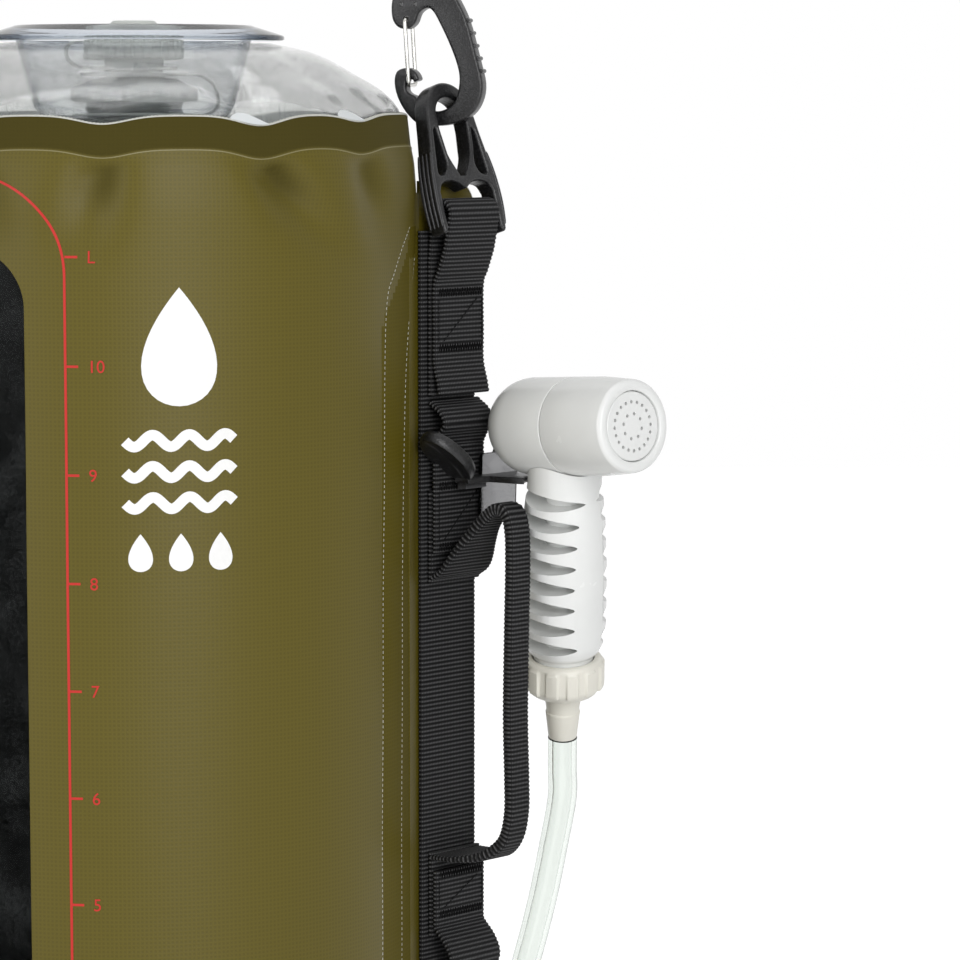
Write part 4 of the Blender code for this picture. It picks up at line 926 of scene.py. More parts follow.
def build_bag():
    bag = settings().bag
    columns = 288
    heights = [0.0, 0.002, 0.005, 0.009]
    heights += [0.009 + (0.340 - 0.009) * i / 36 for i in range(1, 37)]
    heights += [0.340 + (0.4125 - 0.340) * i / 34 for i in range(1, 35)]
    heights += [0.4132, 0.4138, 0.4143, 0.4150, 0.4162, 0.4185, 0.4210, 0.4235, 0.425]
    points = []
    for inside in (False, True):
        for height in heights if not inside else heights[::-1]:
            share_up = smoothstep(height, 0.388, 0.4135)
            for column in range(columns):
                degrees = -180 + 360 * column / columns
                at = height - share_up * rim_drop(degrees)
                points.append(on_bag(degrees, at, -bag.wall if inside else 0.0))
    rows = 2 * len(heights)
    faces = grid_faces(rows, columns, close_rows=True)
    layers = [finish(name) for name in ("fabric", "lining", "cut_edge", "side_patch")]
    lining, cut_edge, side_patch = 1, 2, 3
    made = solid("bag_fabric", points, faces, *layers)
    for face in made.data.polygons:
        if face.normal.dot(Vector((face.center.x, face.center.y, 0)).normalized()) < -0.5:
            face.material_index = lining
        elif abs(face.normal.z) > 0.7:
            face.material_index = cut_edge
        elif on_side_patch(face.center):
            face.material_index = side_patch
    turn = turned(WINDOW_ANGLE - 90.0, "Z")
    wedge = []
    outline = window_outline()
    for reach in (bag.radius - 0.010, bag.radius + 0.010):
        for along, height in outline:
            angle = along / bag.radius
            wedge.append(Vector((reach * math.cos(angle), reach * math.sin(angle), height)))
    sides = grid_faces(2, len(outline))
    sides += [tuple(range(len(outline)))[::-1], tuple(range(len(outline), 2 * len(outline)))]
    cutter = solid("window_cutter", wedge, sides, *layers, turn=turn)
    for face in cutter.data.polygons:
        face.material_index = cut_edge
    carve(made, cutter, sharp=30.0)
    outlet_at = outlet_turn(bag.radius - bag.wall / 2)
    outlet = rod("outlet_cutter", OUTLET_HOLE, 0.02, finish("cut_edge"), outlet_at)
    carve(made, outlet, sharp=30.0)
    around = 2 * math.pi * bag.radius

    def cloth(point, centre):
        """Metres round the bag and up it, kept on the face's own side of the seam at the back."""
        along = math.atan2(point.x, -point.y) * bag.radius
        base = math.atan2(centre.x, -centre.y) * bag.radius
        if along - base > around / 2:
            along -= around
        if base - along > around / 2:
            along += around
        return along, point.z

    lay_cloth(made.data, cloth)
    # Per point, how far painted shade darkens the fabric's colour, with the weld band's darker tone.
    band_and_painted_shade = made.data.attributes.new("band_and_painted_shade", "FLOAT", "POINT")
    for vertex, held in zip(made.data.vertices, band_and_painted_shade.data):
        held.value = crease_shade(vertex.co)
    return settle(made, "bag", "olive_coated_fabric", "bag_tube")


def build_cut_rim():
    """The white scrim that shows as a fine saw edge round the fabric's cut top."""
    bag = settings().bag
    teeth = 960
    points = []
    for corner in range(4):
        for tooth in range(teeth):
            degrees = 360.0 * tooth / teeth
            rise = -0.00035
            if corner in (1, 2):
                rise = 0.00030 if tooth % 2 else -0.00002
            height = rim_height(degrees) + rise
            lift = 0.00012 if corner in (0, 1) else -bag.wall * 0.8
            points.append(on_bag(degrees, height, lift))
    made = solid("rim_cut_edge", points, grid_faces(4, teeth, close_rows=True), finish("cut_edge"))
    return settle(made, "bag", "olive_coated_fabric")


def build_rim_folds():
    """Where the fabric's edge is pinched over, lying on the dome, at two dips of the front."""
    edge_radius, edge_height = DOME_EDGE[-1]
    columns = 15
    for at in FOLD_PLACES:
        points = []
        for lift, top in ((0.0006, False), (0.0006, True), (0.0001, True), (0.0001, False)):
            for i in range(columns):
                along = i / (columns - 1)
                degrees = at - 6.5 + 8.0 * along
                height = rim_height(degrees) + 0.0001
                if top:
                    height += FOLD_TALL * math.sin(math.pi * along) ** 0.8 * (1.25 - 0.6 * along)
                reach = edge_radius + DOME_SLOPE * (edge_height - height) + lift
                turn = math.radians(degrees)
                points.append((reach * math.sin(turn), -reach * math.cos(turn), height))
        faces = grid_faces(4, columns, close_rows=True, close_columns=False)
        faces.append(tuple(columns * row for row in range(4)))
        faces.append(tuple(columns * (row + 1) - 1 for row in (0, 3, 2, 1)))
        fold = solid(f"rim_fold_{at:.0f}", points, faces, finish("lining"))
        settle(fold, "bag", "olive_coated_fabric")


PRINT_LIFT = 0.00010
PRINT_ROOT = -0.0002


def surface_line(name, path, width, ink, lift=PRINT_LIFT):
    """A thin raised line of even width along (degrees, height) points on the bag."""
    radius = settings().bag.radius
    flat = [Vector((math.radians(at) * radius, height)) for at, height in path]
    points = []
    for i, at in enumerate(flat):
        along = run_at(flat, i)
        across = Vector((-along.y, along.x)) * width / 2
        for edge, rise in ((across, lift), (-across, lift), (-across, PRINT_ROOT), (across, PRINT_ROOT)):
            spot = at + edge
            points.append(on_bag(math.degrees(spot.x / radius), spot.y, rise))
    return solid(name, points, tube_faces(len(flat), 4), ink)


def wrapped(obj, degrees, height):
    """Bend a flat piece round the bag: its X runs along the surface and its Y up."""
    radius = settings().bag.radius
    for vertex in obj.data.vertices:
        at = degrees + math.degrees(vertex.co.x / radius)
        vertex.co = on_bag(at, height + vertex.co.y, vertex.co.z)
    return obj


def flat_text(name, words, tall, ink):
    curve = bpy.data.curves.new(name, "FONT")
    curve.body = words
    curve.size = tall / CAPITAL_SHARE
    curve.align_x = "LEFT"
    curve.align_y = "CENTER"
    curve.extrude = 0.0002
    curve.resolution_u = 6
    mesh = mesh_of_curve(curve)
    low = min(vertex.co.y for vertex in mesh.vertices)
    high = max(vertex.co.y for vertex in mesh.vertices)
    mesh.transform(moved(0, -(low + high) / 2, 0))
    return show(name, mesh, ink)


SCALE_HALF_WIDTH = 0.0322
SCALE_TOP = 0.3735
SCALE_BOTTOM = 0.0500
SCALE_LINE = 0.00085
TICK_LINE = 0.0008
TICK_LENGTH = 0.0042
MARK_NINE = 0.3104
TOP_MARK = 11
NUMBER_TALL = 0.0039
NUMBER_OFFSET = 0.0072
CAPITAL_SHARE = 0.69


def build_scale():
    """The printed litre scale: a line round the window, a tick and a number for each litre."""
    bag = settings().bag
    ink = finish("scale_ink")
    half = SCALE_HALF_WIDTH
    loop = arc((0, SCALE_TOP), half, 0, 180, 60) + [(-half, SCALE_TOP - 0.01 * i) for i in range(1, 32)]
    loop += arc((0, SCALE_BOTTOM), half, 180, 360, 60)
    loop += [(half, SCALE_BOTTOM + 0.01 * i) for i in range(1, 33)]
    loop.append(loop[0])
    path = [(WINDOW_ANGLE + bag_arc(x), height) for x, height in loop]
    pieces = [surface_line("scale_line", path, SCALE_LINE, ink)]
    right = WINDOW_ANGLE + bag_arc(half)
    for litre in range(1, TOP_MARK + 1):
        height = MARK_NINE + (litre - 9) * bag.litre
        tick = [(right + bag_arc(TICK_LENGTH * i / 4), height) for i in range(5)]
        pieces.append(surface_line(f"scale_tick_{litre}", tick, TICK_LINE, ink))
        words = "L" if litre == TOP_MARK else str(litre)
        number_print = flat_text(f"scale_number_{litre}", words, NUMBER_TALL, ink)
        pieces.append(wrapped(number_print, right + bag_arc(NUMBER_OFFSET), height))
    made = merge("scale_print", pieces)
    return settle(made, "bag", "olive_coated_fabric")


def droplet(name, centre, tall, ink):
    """A filled water drop printed on the bag, point up, as rings of points that follow the surface."""
    radius = settings().bag.radius
    turns = [2 * math.pi * i / 40 for i in range(40)]
    outline = [(math.sin(turn) * math.sin(turn / 2), -math.cos(turn)) for turn in turns]
    points = []
    rings = 6
    for rise in (PRINT_LIFT, PRINT_ROOT):
        for ring in range(rings, 0, -1):
            for x, y in outline:
                across = centre[0] + x * tall * 0.42 * ring / rings
                height = centre[1] - y * tall / 2 * ring / rings
                points.append(on_bag(math.degrees(across / radius), height, rise))
        points.append(on_bag(math.degrees(centre[0] / radius), centre[1], rise))
    count = len(outline)
    side = rings * count + 1
    faces = []
    for base in (0, side):
        for face in grid_faces(rings, count):
            faces.append(tuple(base + index for index in face))
        last = base + (rings - 1) * count
        faces += [(last + i, last + (i + 1) % count, base + rings * count) for i in range(count)]
    faces += [(i, (i + 1) % count, side + (i + 1) % count, side + i) for i in range(count)]
    return solid(name, points, faces, ink)


MOTIF_CENTRE = 0.0262
DROP_HEIGHT = 0.3515
DROP_TALL = 0.0380
SMALL_DROP_HEIGHT = 0.2855
SMALL_DROP_TALL = 0.0122
SMALL_DROP_PITCH = 0.0130
WAVE_HEIGHTS = (0.3215, 0.3115, 0.3015)
WAVE_LENGTH = 0.0118
WAVE_RISE = 0.0019
WAVE_LINE = 0.0034


def build_motif():
    """A plain white motif: one large drop over three waves, with a row of small drops under them."""
    ink = finish("motif_ink")
    pieces = [droplet("motif_drop", (MOTIF_CENTRE, DROP_HEIGHT), DROP_TALL, ink)]
    for i in range(3):
        centre = (MOTIF_CENTRE + (i - 1) * SMALL_DROP_PITCH, SMALL_DROP_HEIGHT)
        pieces.append(droplet(f"motif_small_drop_{i}", centre, SMALL_DROP_TALL, ink))
    half = 1.5 * WAVE_LENGTH
    for i, height in enumerate(WAVE_HEIGHTS):
        path = []
        for step in range(73):
            along = -half + 2 * half * step / 72
            rise = WAVE_RISE * math.sin(2 * math.pi * along / WAVE_LENGTH)
            path.append((bag_arc(MOTIF_CENTRE + along), height + rise))
        pieces.append(surface_line(f"motif_wave_{i}", path, WAVE_LINE, ink))
    made = merge("motif_print", pieces)
    return settle(made, "bag", "olive_coated_fabric")


# The edges of the side patches, as degrees round from the front and millimetres up
PATCH_EDGE = ((79.8, 386.9), (75.0, 380.0), (70.6, 372.0), (67.4, 363.4), (66.3, 340.0), (65.9, 296.8))
PATCH_EDGE += ((65.2, 230.0), (64.6, 161.4), (64.6, 50.0), (64.8, 12.0))
SECOND_EDGE = ((86.0, 376.0), (82.0, 364.0), (78.8, 348.0), (77.0, 330.0), (75.8, 295.1), (74.8, 230.0))
SECOND_EDGE += ((73.9, 158.2), (73.9, 50.0), (74.0, 12.0))
RADIUS_MM = 96
WELD_STEP_MM = 0.9
HIGHLIGHT_LINE_WIDTH = 0.00034


def build_weld_lines():
    """A pale line painted as a highlight under the weld band, and fine broken lines where the side patches
    are welded on.
    """
    pieces = []
    ink = finish("cut_edge")
    # Painted highlight: a paler olive line along the lower edge of the weld band.
    spots = [(1.5 * i, rim_height(1.5 * i) - BAND_DEPTH - 0.00012) for i in range(241)]
    highlight_stroke = surface_line("painted_highlight_line", spots, HIGHLIGHT_LINE_WIDTH, finish("painted_highlight_line"), 0.00008)
    settle(highlight_stroke, "bag", "olive_coated_fabric")
    for side in (1, -1):
        for fold in (1, -1):
            for line, points in enumerate((PATCH_EDGE, SECOND_EDGE)):
                flat = [(math.radians(x) * RADIUS_MM, y) for x, y in smooth_path(points, 10)]
                fine = even_path(flat, WELD_STEP_MM)
                spots = [(math.degrees(spot.x / RADIUS_MM), spot.y / 1000) for spot, _ in fine]
                for i in range(0, len(spots) - 1, 2):
                    ends = [(side * (90 + fold * (90 - at)), height) for at, height in spots[i : i + 2]]
                    width = 0.00022 + 0.00012 * noise.noise(Vector((i * 0.7, line, side * fold * 3)))
                    pieces.append(surface_line(f"weld_{i}", ends, width, ink, 0.00012))
    made = merge("weld_edges", pieces)
    return settle(made, "bag", "olive_coated_fabric")


def build_window():
    """The clear strip set in the window, bent to the bag's curve."""
    outline = window_outline(-GAP)
    radius = settings().bag.radius
    rings = 5
    points = []
    middle_low = WINDOW_BOTTOM + WINDOW_HALF_WIDTH
    middle_high = WINDOW_TOP - WINDOW_HALF_WIDTH
    for lift in (-0.0002, -0.0011):
        for ring in range(rings + 1):
            share_in = 1 - ring / rings
            for x, height in outline:
                spine = min(middle_high, max(middle_low, height))
                at = WINDOW_ANGLE + math.degrees(x * share_in / radius)
                points.append(on_bag(at, spine + (height - spine) * share_in, lift))
    count = len(outline)
    side = (rings + 1) * count
    faces = []
    for base in (0, side):
        for face in grid_faces(rings + 1, count):
            faces.append(tuple(base + index for index in face))
    faces += [(i, (i + 1) % count, side + (i + 1) % count, side + i) for i in range(count)]
    made = solid("level_window", points, faces, finish("window"))
    return settle(made, "bag", "clear_film", "window_film")


def build_base():
    bag = settings().bag
    rim = bag.radius - bag.wall - GAP - 0.0008
    profile = [(0, 0.0014), (rim - 0.004, 0.0014), (rim - 0.0010, 0.0022), (rim - 0.0010, 0.009)]
    profile += [(rim, 0.009), (rim, 0.0016), (rim - 0.0016, 0.0), (0, 0.0)]
    made = lathe("base_panel", profile, finish("fabric"), 128, closed=False, ease=0.0012)
    lay_cloth(made.data, lambda point, centre: (point.x, point.y))
    return settle(made, "bag", "olive_coated_fabric", "bag_base")


# Top film and filler

DOME = ((0.0464, 0.4487), (0.0540, 0.4472), (0.0620, 0.4452), (0.0690, 0.4420), (0.0752, 0.4383))
DOME += ((0.0800, 0.4358),)
DOME_EDGE = ((0.0843, 0.4332), (0.0880, 0.4300), (0.0903, 0.4270))
DOME_SLOPE = 0.77
FILM_THICKNESS = 0.0006
FLANGE_TOP = 0.4235


def build_top_film():
    """The clear dome, drawn into soft folds towards each dip of the rim, its edge welded inside the mouth."""
    bag = settings().bag
    profile = smooth_path([*DOME, *DOME_EDGE], 3)
    columns = 216
    rows = []
    for radius, height in profile:
        row = []
        out = smoothstep(radius, 0.050, 0.088)
        for column in range(columns):
            degrees = 360 * column / columns
            turn = math.radians(degrees)
            drop = rim_drop(degrees) * out
            wave = noise.noise(Vector((math.sin(turn) * 5, math.cos(turn) * 5, radius * 60)))
            row.append((radius, height - drop * 0.8 + 0.0006 * wave * out, turn))
        rows.append(row)
    for low in (FLANGE_TOP, 0.4215, 0.4190, 0.4165, FILM_LOW):
        row = []
        for column in range(columns):
            degrees = 360 * column / columns
            at = low - (low - FILM_LOW) / (FLANGE_TOP - FILM_LOW) * rim_drop(degrees)
            row.append((bag_radius(degrees, at) - bag.wall - GAP, at, math.radians(degrees)))
        rows.append(row)
    points = []
    for inside in (False, True):
        for row in rows[::-1] if inside else rows:
            for radius, height, turn in row:
                flange = height < FLANGE_TOP + 0.001
                reach = radius - (FILM_THICKNESS if inside and flange else 0.0)
                lower = FILM_THICKNESS if inside and not flange else 0.0
                points.append((reach * math.sin(turn), -reach * math.cos(turn), height - lower))
    faces = grid_faces(2 * len(rows), columns, close_rows=True)
    made = solid("mouth_film", points, faces, finish("film"), sharp=60)
    return settle(made, "bag", "clear_film", "top_film")


def build_well():
    profile = [
        (0.0396, 0.4549), (0.0412, 0.4543), (0.0512, 0.4512), (0.0514, 0.4498), (0.0500, 0.4494),
        (0.0402, 0.4505), (0.0372, 0.4390), (0.0344, 0.4280), (0.0305, 0.4209), (0.0170, 0.4209),
        (0.0170, 0.4225), (0.0285, 0.4225), (0.0312, 0.4237), (0.0330, 0.4285), (0.0359, 0.4400),
        (0.0386, 0.4525),
    ]
    made = lathe("filler_bowl", profile, finish("moulding"), 160, ease=0.0016)
    return settle(made, "bag", "clear_moulding", "filler_well")


def blocks(count, rise, low, high, crown=0.6, reach=None):
    """Raised blocks round a cap between two heights and near one radius, as a swell for lathe()."""

    def swell(angle, radius, height):
        if not low <= height <= high or (reach is not None and abs(radius - reach) > 0.0012):
            return 0.0
        beat = 0.5 + 0.5 * math.cos(count * angle)
        return rise * smoothstep(beat, crown - 0.25, crown + 0.05)

    return swell


def build_neck():
    """The threaded neck: three turns of a rounded thread under a plain lip."""
    pitch, deep = 0.0026, 0.0006
    low, high = 0.4228, 0.4308

    def thread(angle, radius, height):
        if not 0.0160 <= radius <= 0.0167 or not low <= height <= high:
            return 0.0
        beat = (height / pitch - angle / (2 * math.pi)) % 1.0
        fade = smoothstep(height, low, low + 0.0010) * (1 - smoothstep(height, high - 0.0010, high))
        return deep * fade * (0.5 + 0.5 * math.cos(2 * math.pi * beat)) ** 2 - 0.0002

    side = [(0.0164, 0.4225 + 0.0083 * i / 28) for i in range(28, -1, -1)]
    profile = [(0.0158, 0.4315), *side, (0.0166, 0.4206), (0.0225, 0.4206), (0.0225, 0.4192)]
    profile += [(0.0145, 0.4192), (0.0145, 0.4315)]
    made = lathe("threaded_neck", profile, finish("neck"), 96, swell=thread, ease=0.0002, sharp=60)
    return settle(made, "bag", "grey_neck", "filler_neck")


def build_filler_cap():
    filler = settings().filler
    inside = 0.4328
    profile = [
        (0.0094, 0.4500), (0.0100, 0.4492), (0.0100, 0.4470), (0.0100, 0.4372), (0.0150, 0.4366),
        (0.0180, 0.4348), (0.0204, 0.4340), (0.0210, 0.4330), (0.0210, 0.4312), (0.0210, 0.4296),
        (0.0206, 0.4290), (0.0178, 0.4290), (0.0178, inside), (0.0072, inside), (0.0072, 0.4500),
    ]
    grip = blocks(filler.cap_blocks, 0.0008, 0.4292, 0.4336, reach=0.0209)
    made = lathe("wide_cap", profile, finish("cap"), filler.cap_blocks * 12, swell=grip, ease=0.0004)
    return settle(made, "filler_cap", "translucent_cap", "filler_cap")


def build_spout_cap():
    filler = settings().filler
    inside = 0.4516
    profile = [(0, 0.4563), (0.0070, 0.4563), (0.0078, 0.4556), (0.0083, 0.4549), (0.0140, 0.4550)]
    profile += [(0.0158, 0.4543), (0.0164, 0.4530), (0.0164, 0.4445), (0.0160, 0.4440), (0.0108, 0.4440)]
    profile += [(0.0108, inside), (0, inside)]
    grip = blocks(filler.spout_ribs, 0.0007, 0.4442, 0.4534, crown=0.5, reach=0.0163)
    steps = filler.spout_ribs * 8
    made = lathe("small_cap", profile, finish("cap"), steps, closed=False, swell=grip, ease=0.0004)
    return settle(made, "spout_cap", "translucent_cap", "spout_cap")


def band_profile(inner, outer, low, high):
    return [(outer, high), (outer, low), (inner, low), (inner, high)]


def tether(name, inner, outer, low, high, path, half_width, extra=None):
    """A ring with a soft flat strap that leaves its edge along (radius, height) points."""
    ring = lathe(name, band_profile(inner, outer, low, high), finish("cap"), 96, ease=0.0003)
    line = [Vector((radius, 0, height)) for radius, height in smooth_path(path, 8)]
    thin, wide = 0.0005, half_width
    section = eased([(-thin, -wide), (thin, -wide), (thin, wide), (-thin, wide)], 0.0003)
    points = []
    for i, at in enumerate(line):
        along = run_at(line, i)
        across = Vector((along.z, 0, -along.x))
        points += [at + across * x + Vector((0, y, 0)) for x, y in section]
    strap = solid(name + "_strap", points, tube_faces(len(line), len(section)), finish("cap"))
    carve(ring, strap, "UNION")
    if extra is not None:
        carve(ring, extra, "UNION")
    return ring


def build_tethers():
    path = [(0.0200, 0.4252), (0.0245, 0.4255), (0.0285, 0.4285), (0.0272, 0.4345), (0.0226, 0.4378)]
    path.append((0.0175, 0.4382))
    collar = lathe("tether_collar", band_profile(0.0104, 0.0182, 0.4376, 0.4390), finish("cap"), 96)
    wide = tether("wide_cap_tether", 0.0170, 0.0212, 0.4245, 0.4258, path, 0.0022, collar)
    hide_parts("cap_tether")
    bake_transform(wide)
    path = [(-0.0140, 0.4407), (-0.0190, 0.4412), (-0.0226, 0.4440), (-0.0232, 0.4485), (-0.0205, 0.4512)]
    path.append((-0.0176, 0.4510))
    small = tether("small_cap_tether", 0.0104, 0.0148, 0.4400, 0.4413, path, 0.0020)
    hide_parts("spout_tether")
    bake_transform(small)
    return wide, small


# Side webbing


def mirrored(side):
    return Matrix.Diagonal((1 if side == "right" else -1, 1, 1, 1))


def side_turn(side):
    """From webbing coordinates (u, -n, z) to the shared frame."""
    return mirrored(side) @ moved(SIDE_ROOT, 0, 0) @ Matrix.Rotation(SIDE_TURN, 4, "Z")


def webbing_section(width, thickness, crown):
    """(across, off the centre) points round a flat band with soft edges. crown is 1 on a rib, 0 between."""
    half = width / 2 - 0.00034 * (1 - crown)
    thick = thickness / 2 + 0.00022 * (crown - 0.6)
    top = [(-half, 0.0), (-half + 0.0003, thick * 0.72), (-half + 0.0011, thick)]
    top += [(-half * 0.5, thick), (0.0, thick), (half * 0.5, thick)]
    top += [(half - 0.0011, thick), (half - 0.0003, thick * 0.72), (half, 0.0)]
    return top + [(x, -y) for x, y in top[-2:0:-1]]


def webbing_band(name, path, turn, middle=None, width=None, fold=None):
    """Ribbed webbing along an (n, z) centreline. fold(along, length) gives (width, thickness) along it."""
    webbing = settings().webbing
    middle = webbing.width / 2 if middle is None else middle
    width = webbing.width if width is None else width
    rows = even_path(path, webbing.pitch / 4)
    line = [at for at, _ in rows]
    length = rows[-1][1]
    points, cloth = [], []
    for i, (at, along) in enumerate(rows):
        run = run_at(line, i)
        face = Vector((-run.y, run.x))
        wide, thick = fold(along, length) if fold else (width, webbing.thickness)
        crown = 0.5 - 0.5 * math.cos(2 * math.pi * along / webbing.pitch)
        for across, off in webbing_section(wide, thick, crown):
            spot = at + face * off
            points.append((middle + across, -spot.x, spot.y))
            cloth.append((across, along))
    mesh = bpy.data.meshes.new(name)
    mesh.from_pydata(points, [], tube_faces(len(rows), len(points) // len(rows)))
    layer = mesh.uv_layers.new(name="cloth")
    for loop in mesh.loops:
        layer.data[loop.index].uv = cloth[loop.vertex_index]
    mesh.transform(turn)
    return show(name, mesh, finish("webbing"), sharp=70)


def stitches(name, path, turn, face_n):
    """A row of thread stitches on the webbing's face, along (u, z) points."""
    rise, pitch = 0.00030, 0.0022
    pieces = []
    rows = even_path(path, pitch)
    for i in range(len(rows) - 1):
        start, end = rows[i][0], rows[i + 1][0]
        middle, run = (start + end) / 2, (end - start)
        points = []
        for step in range(5):
            t = -0.42 + 0.84 * step / 4
            off = -face_n - rise * math.cos(t * math.pi / 0.9) * 0.8
            points.append((middle.x + run.x * t, off, middle.y + run.y * t))
        pieces.append(sweep(f"{name}_{i}", points, circle(0.00020, 6), finish("webbing"), turn=turn))
    return pieces


def bartack(name, turn, left, right, height, face_n):
    """One dense zigzag of thread across the webbing."""
    tall, step = 0.0013, 0.00062
    count = round((right - left) / step)
    points = []
    for i in range(count + 1):
        u = left + (right - left) * i / count
        points.append((u, -face_n - 0.00022, height + (tall if i % 2 else -tall)))
    return sweep(name, points, circle(0.00022, 6), finish("webbing"), turn=turn)


def tack(name, turn, low, high, face_n, width):
    """How a webbing end is sewn down: a dense zigzag at each end, plain rows at the sides and one across."""
    left, right = 0.0018, width - 0.0018
    pieces = []
    for i, height in enumerate((low, high)):
        pieces.append(bartack(f"{name}_zigzag_{i}", turn, left, right, height, face_n))
    inset = 0.0022
    rows = [
        [Vector((left, low + inset)), Vector((left, high - inset))],
        [Vector((right, low + inset)), Vector((right, high - inset))],
        [Vector((left + inset, low + inset)), Vector((right - inset, high - inset))],
    ]
    for i, row in enumerate(rows):
        pieces += stitches(f"{name}_{i}", row, turn, face_n)
    return pieces


FIN_REACH = 0.0262
FIN_TOP = 0.402
FIN_CORNER = 0.010
FIN_THICKNESS = 0.0012


def build_fin(side):
    corner = arc((FIN_REACH - FIN_CORNER, FIN_TOP - FIN_CORNER), FIN_CORNER, 0, 90, 16)
    outline = [(-0.0010, 0.0), (FIN_REACH, 0.0), *corner, (-0.0010, FIN_TOP)]
    turn = side_turn(side)
    flat = turn @ UPRIGHT
    fin = slab("fin_" + side, [outline], FIN_THICKNESS, finish("fabric"), edge=0.0002, steps=1, turn=flat)
    lay_cloth(fin.data, lambda point, centre: (point.length, point.z))
    settle(fin, "bag", "olive_coated_fabric", "side_flange_" + side)
    rim = [(FIN_REACH, 0.0005 + 0.01 * i) for i in range(40)] + corner
    rim += [(FIN_REACH - FIN_CORNER - 0.0013 * i, FIN_TOP) for i in range(1, 13)]
    rim = [Vector((u, 0, z)) for u, z in rim]
    half = 0.00068
    section = [(half, 0.00012), (-half, 0.00012), (-half, -0.00018), (half, -0.00018)]
    points = []
    for i, at in enumerate(rim):
        along = run_at(rim, i)
        out = Vector((along.z, 0, -along.x))
        points += [at + Vector((0, x, 0)) + out * y for x, y in section]
    edge = solid("fin_cut_edge_" + side, points, tube_faces(len(rim), 4), finish("cut_edge"), turn=turn)
    return settle(edge, "bag", "olive_coated_fabric")


def build_fin_root(side):
    """The fabric that runs off the bag's side into the fin."""
    outside = settings().bag.radius + 0.0003
    inside = outside - 0.0006
    outline = [on_circle(outside, -a) for a in (10, 8, 6, 4, 2.5)]
    outline += [(0.0970, -0.0018), (0.0976, -0.0004), (0.0984, 0.0008), (0.0979, 0.0013)]
    outline += [(0.0969, 0.0006), (0.0962, -0.0008), *(on_circle(inside, -a) for a in (4, 6, 8, 10))]
    turn = mirrored(side) @ moved(0, 0, 0.2000)
    root = slab("fin_root_" + side, [outline], 0.3960, finish("fabric"), turn=turn)
    lay_cloth(root.data, lambda point, centre: (point.y, point.z))
    return settle(root, "bag", "olive_coated_fabric")


def build_side_webbing(side):
    webbing = settings().webbing
    turn = side_turn(side)
    centre = STRAP_FACE + webbing.thickness / 2
    overlap = 0.0026
    wide = webbing.width + overlap
    path = [(centre, 0.012), (centre, 0.385)]
    strap = webbing_band("strap_" + side, path, turn, middle=(webbing.width - overlap) / 2, width=wide)
    settle(strap, "bag", "black_webbing", "side_strap_" + side)
    hole = RING_BAR_RADIUS + 0.0005 + webbing.thickness / 2
    over = arc((RING_PIVOT_N, RING_PIVOT_Z), hole, -12, 172, 20)
    front = [(PLY_2 + 0.0026, 0.3290), (PLY_2 + 0.0018, 0.3330), (PLY_2, 0.3400), (PLY_2, 0.3500)]
    front += [(PLY_2, 0.3660), (PLY_2 + 0.0022, 0.3715), (0.0118, 0.3800)]
    back = [(PLY_1 + 0.0006, 0.3810), (PLY_1, 0.3740), (PLY_1, 0.3660), (PLY_1, 0.3500), (PLY_1, 0.3285)]
    path = smooth_path(front, 6)[:-1] + [Vector(point) for point in over] + smooth_path(back, 6)[1:]
    loop = webbing_band("ring_loop_webbing_" + side, path, turn)
    settle(loop, "bag", "black_webbing", "ring_loop_" + side)
    lift = 0.0022 if side == "right" else 0.0
    low = PLY_1 + lift
    bulge = [(PLY_1, 0.3266), (PLY_1 + 0.0010, 0.3256), (0.0088, 0.3232), (0.0110, 0.3192), (0.0084, 0.3156)]
    path = smooth_path([*bulge, (low, 0.3118)], 8) + [Vector((low, 0.3040)), Vector((low, 0.2745))]
    name = "holder_loop" if side == "right" else "mid_loop_left"
    middle_loop = webbing_band("middle_loop_webbing_" + side, path, turn)
    settle(middle_loop, "bag", "black_webbing", name)
    bulge = [(low, 0.1445), (low + 0.0008, 0.1425), (0.0120, 0.1375), (0.0142, 0.1315), (0.0100, 0.1240)]
    path = [Vector((low, 0.1635)), Vector((low, 0.1500)), *smooth_path([*bulge, (PLY_1, 0.1170)], 8)]
    path += [Vector((PLY_1, 0.1100)), Vector((PLY_1, 0.0930))]
    lower = webbing_band("lower_loop_webbing_" + side, path, turn)
    settle(lower, "bag", "black_webbing", "lower_loop_" + side)
    half = webbing.thickness / 2
    threads = tack("tack_ring", turn, 0.3450, 0.3640, PLY_2 + half, webbing.width)
    threads += tack("tack_middle", turn, 0.2765, 0.2975, low + half, webbing.width)
    threads += tack("tack_upper", turn, 0.1480, 0.1620, low + half, webbing.width)
    threads += tack("tack_lower", turn, 0.0950, 0.1090, PLY_1 + half, webbing.width)
    made = merge("strap_stitching_" + side, threads)
    return settle(made, "bag", "black_webbing")


HANDLE_PATH = (
    (0.0046, 0.2655), (0.0095, 0.2690), (0.0148, 0.2775), (0.0210, 0.2860), (0.0270, 0.2905),
    (0.0317, 0.2895), (0.0338, 0.2835), (0.0342, 0.2720), (0.0337, 0.2500), (0.0332, 0.2200),
    (0.0338, 0.1980), (0.0337, 0.1860), (0.0310, 0.1765), (0.0240, 0.1706), (0.0150, 0.1685),
    (0.0046, 0.1680),
)


def build_carry_handle():
    """Webbing whose flat ends are sewn down and whose grip is folded to less than half its width."""
    webbing = settings().webbing

    def fold(along, length):
        end = min(along, length - along)
        folded = smoothstep(end, 0.004, 0.030)
        wide = webbing.width + (0.0104 - webbing.width) * folded
        return wide, webbing.thickness + (0.0042 - webbing.thickness) * folded

    turn = side_turn("right")
    grip = webbing_band("handle_grip", smooth_path(HANDLE_PATH, 6), turn, fold=fold)
    tabs = [
        webbing_band("handle_tab_top", [(PLY_1, 0.2640), (PLY_1, 0.2960)], turn),
        webbing_band("handle_tab_bottom", [(PLY_1, 0.1400), (PLY_1, 0.1695)], turn),
    ]
    made = merge("carry_handle_webbing", [grip, *tabs])
    return settle(made, "bag", "black_webbing", "carry_handle")


# Strap rings and carabiners


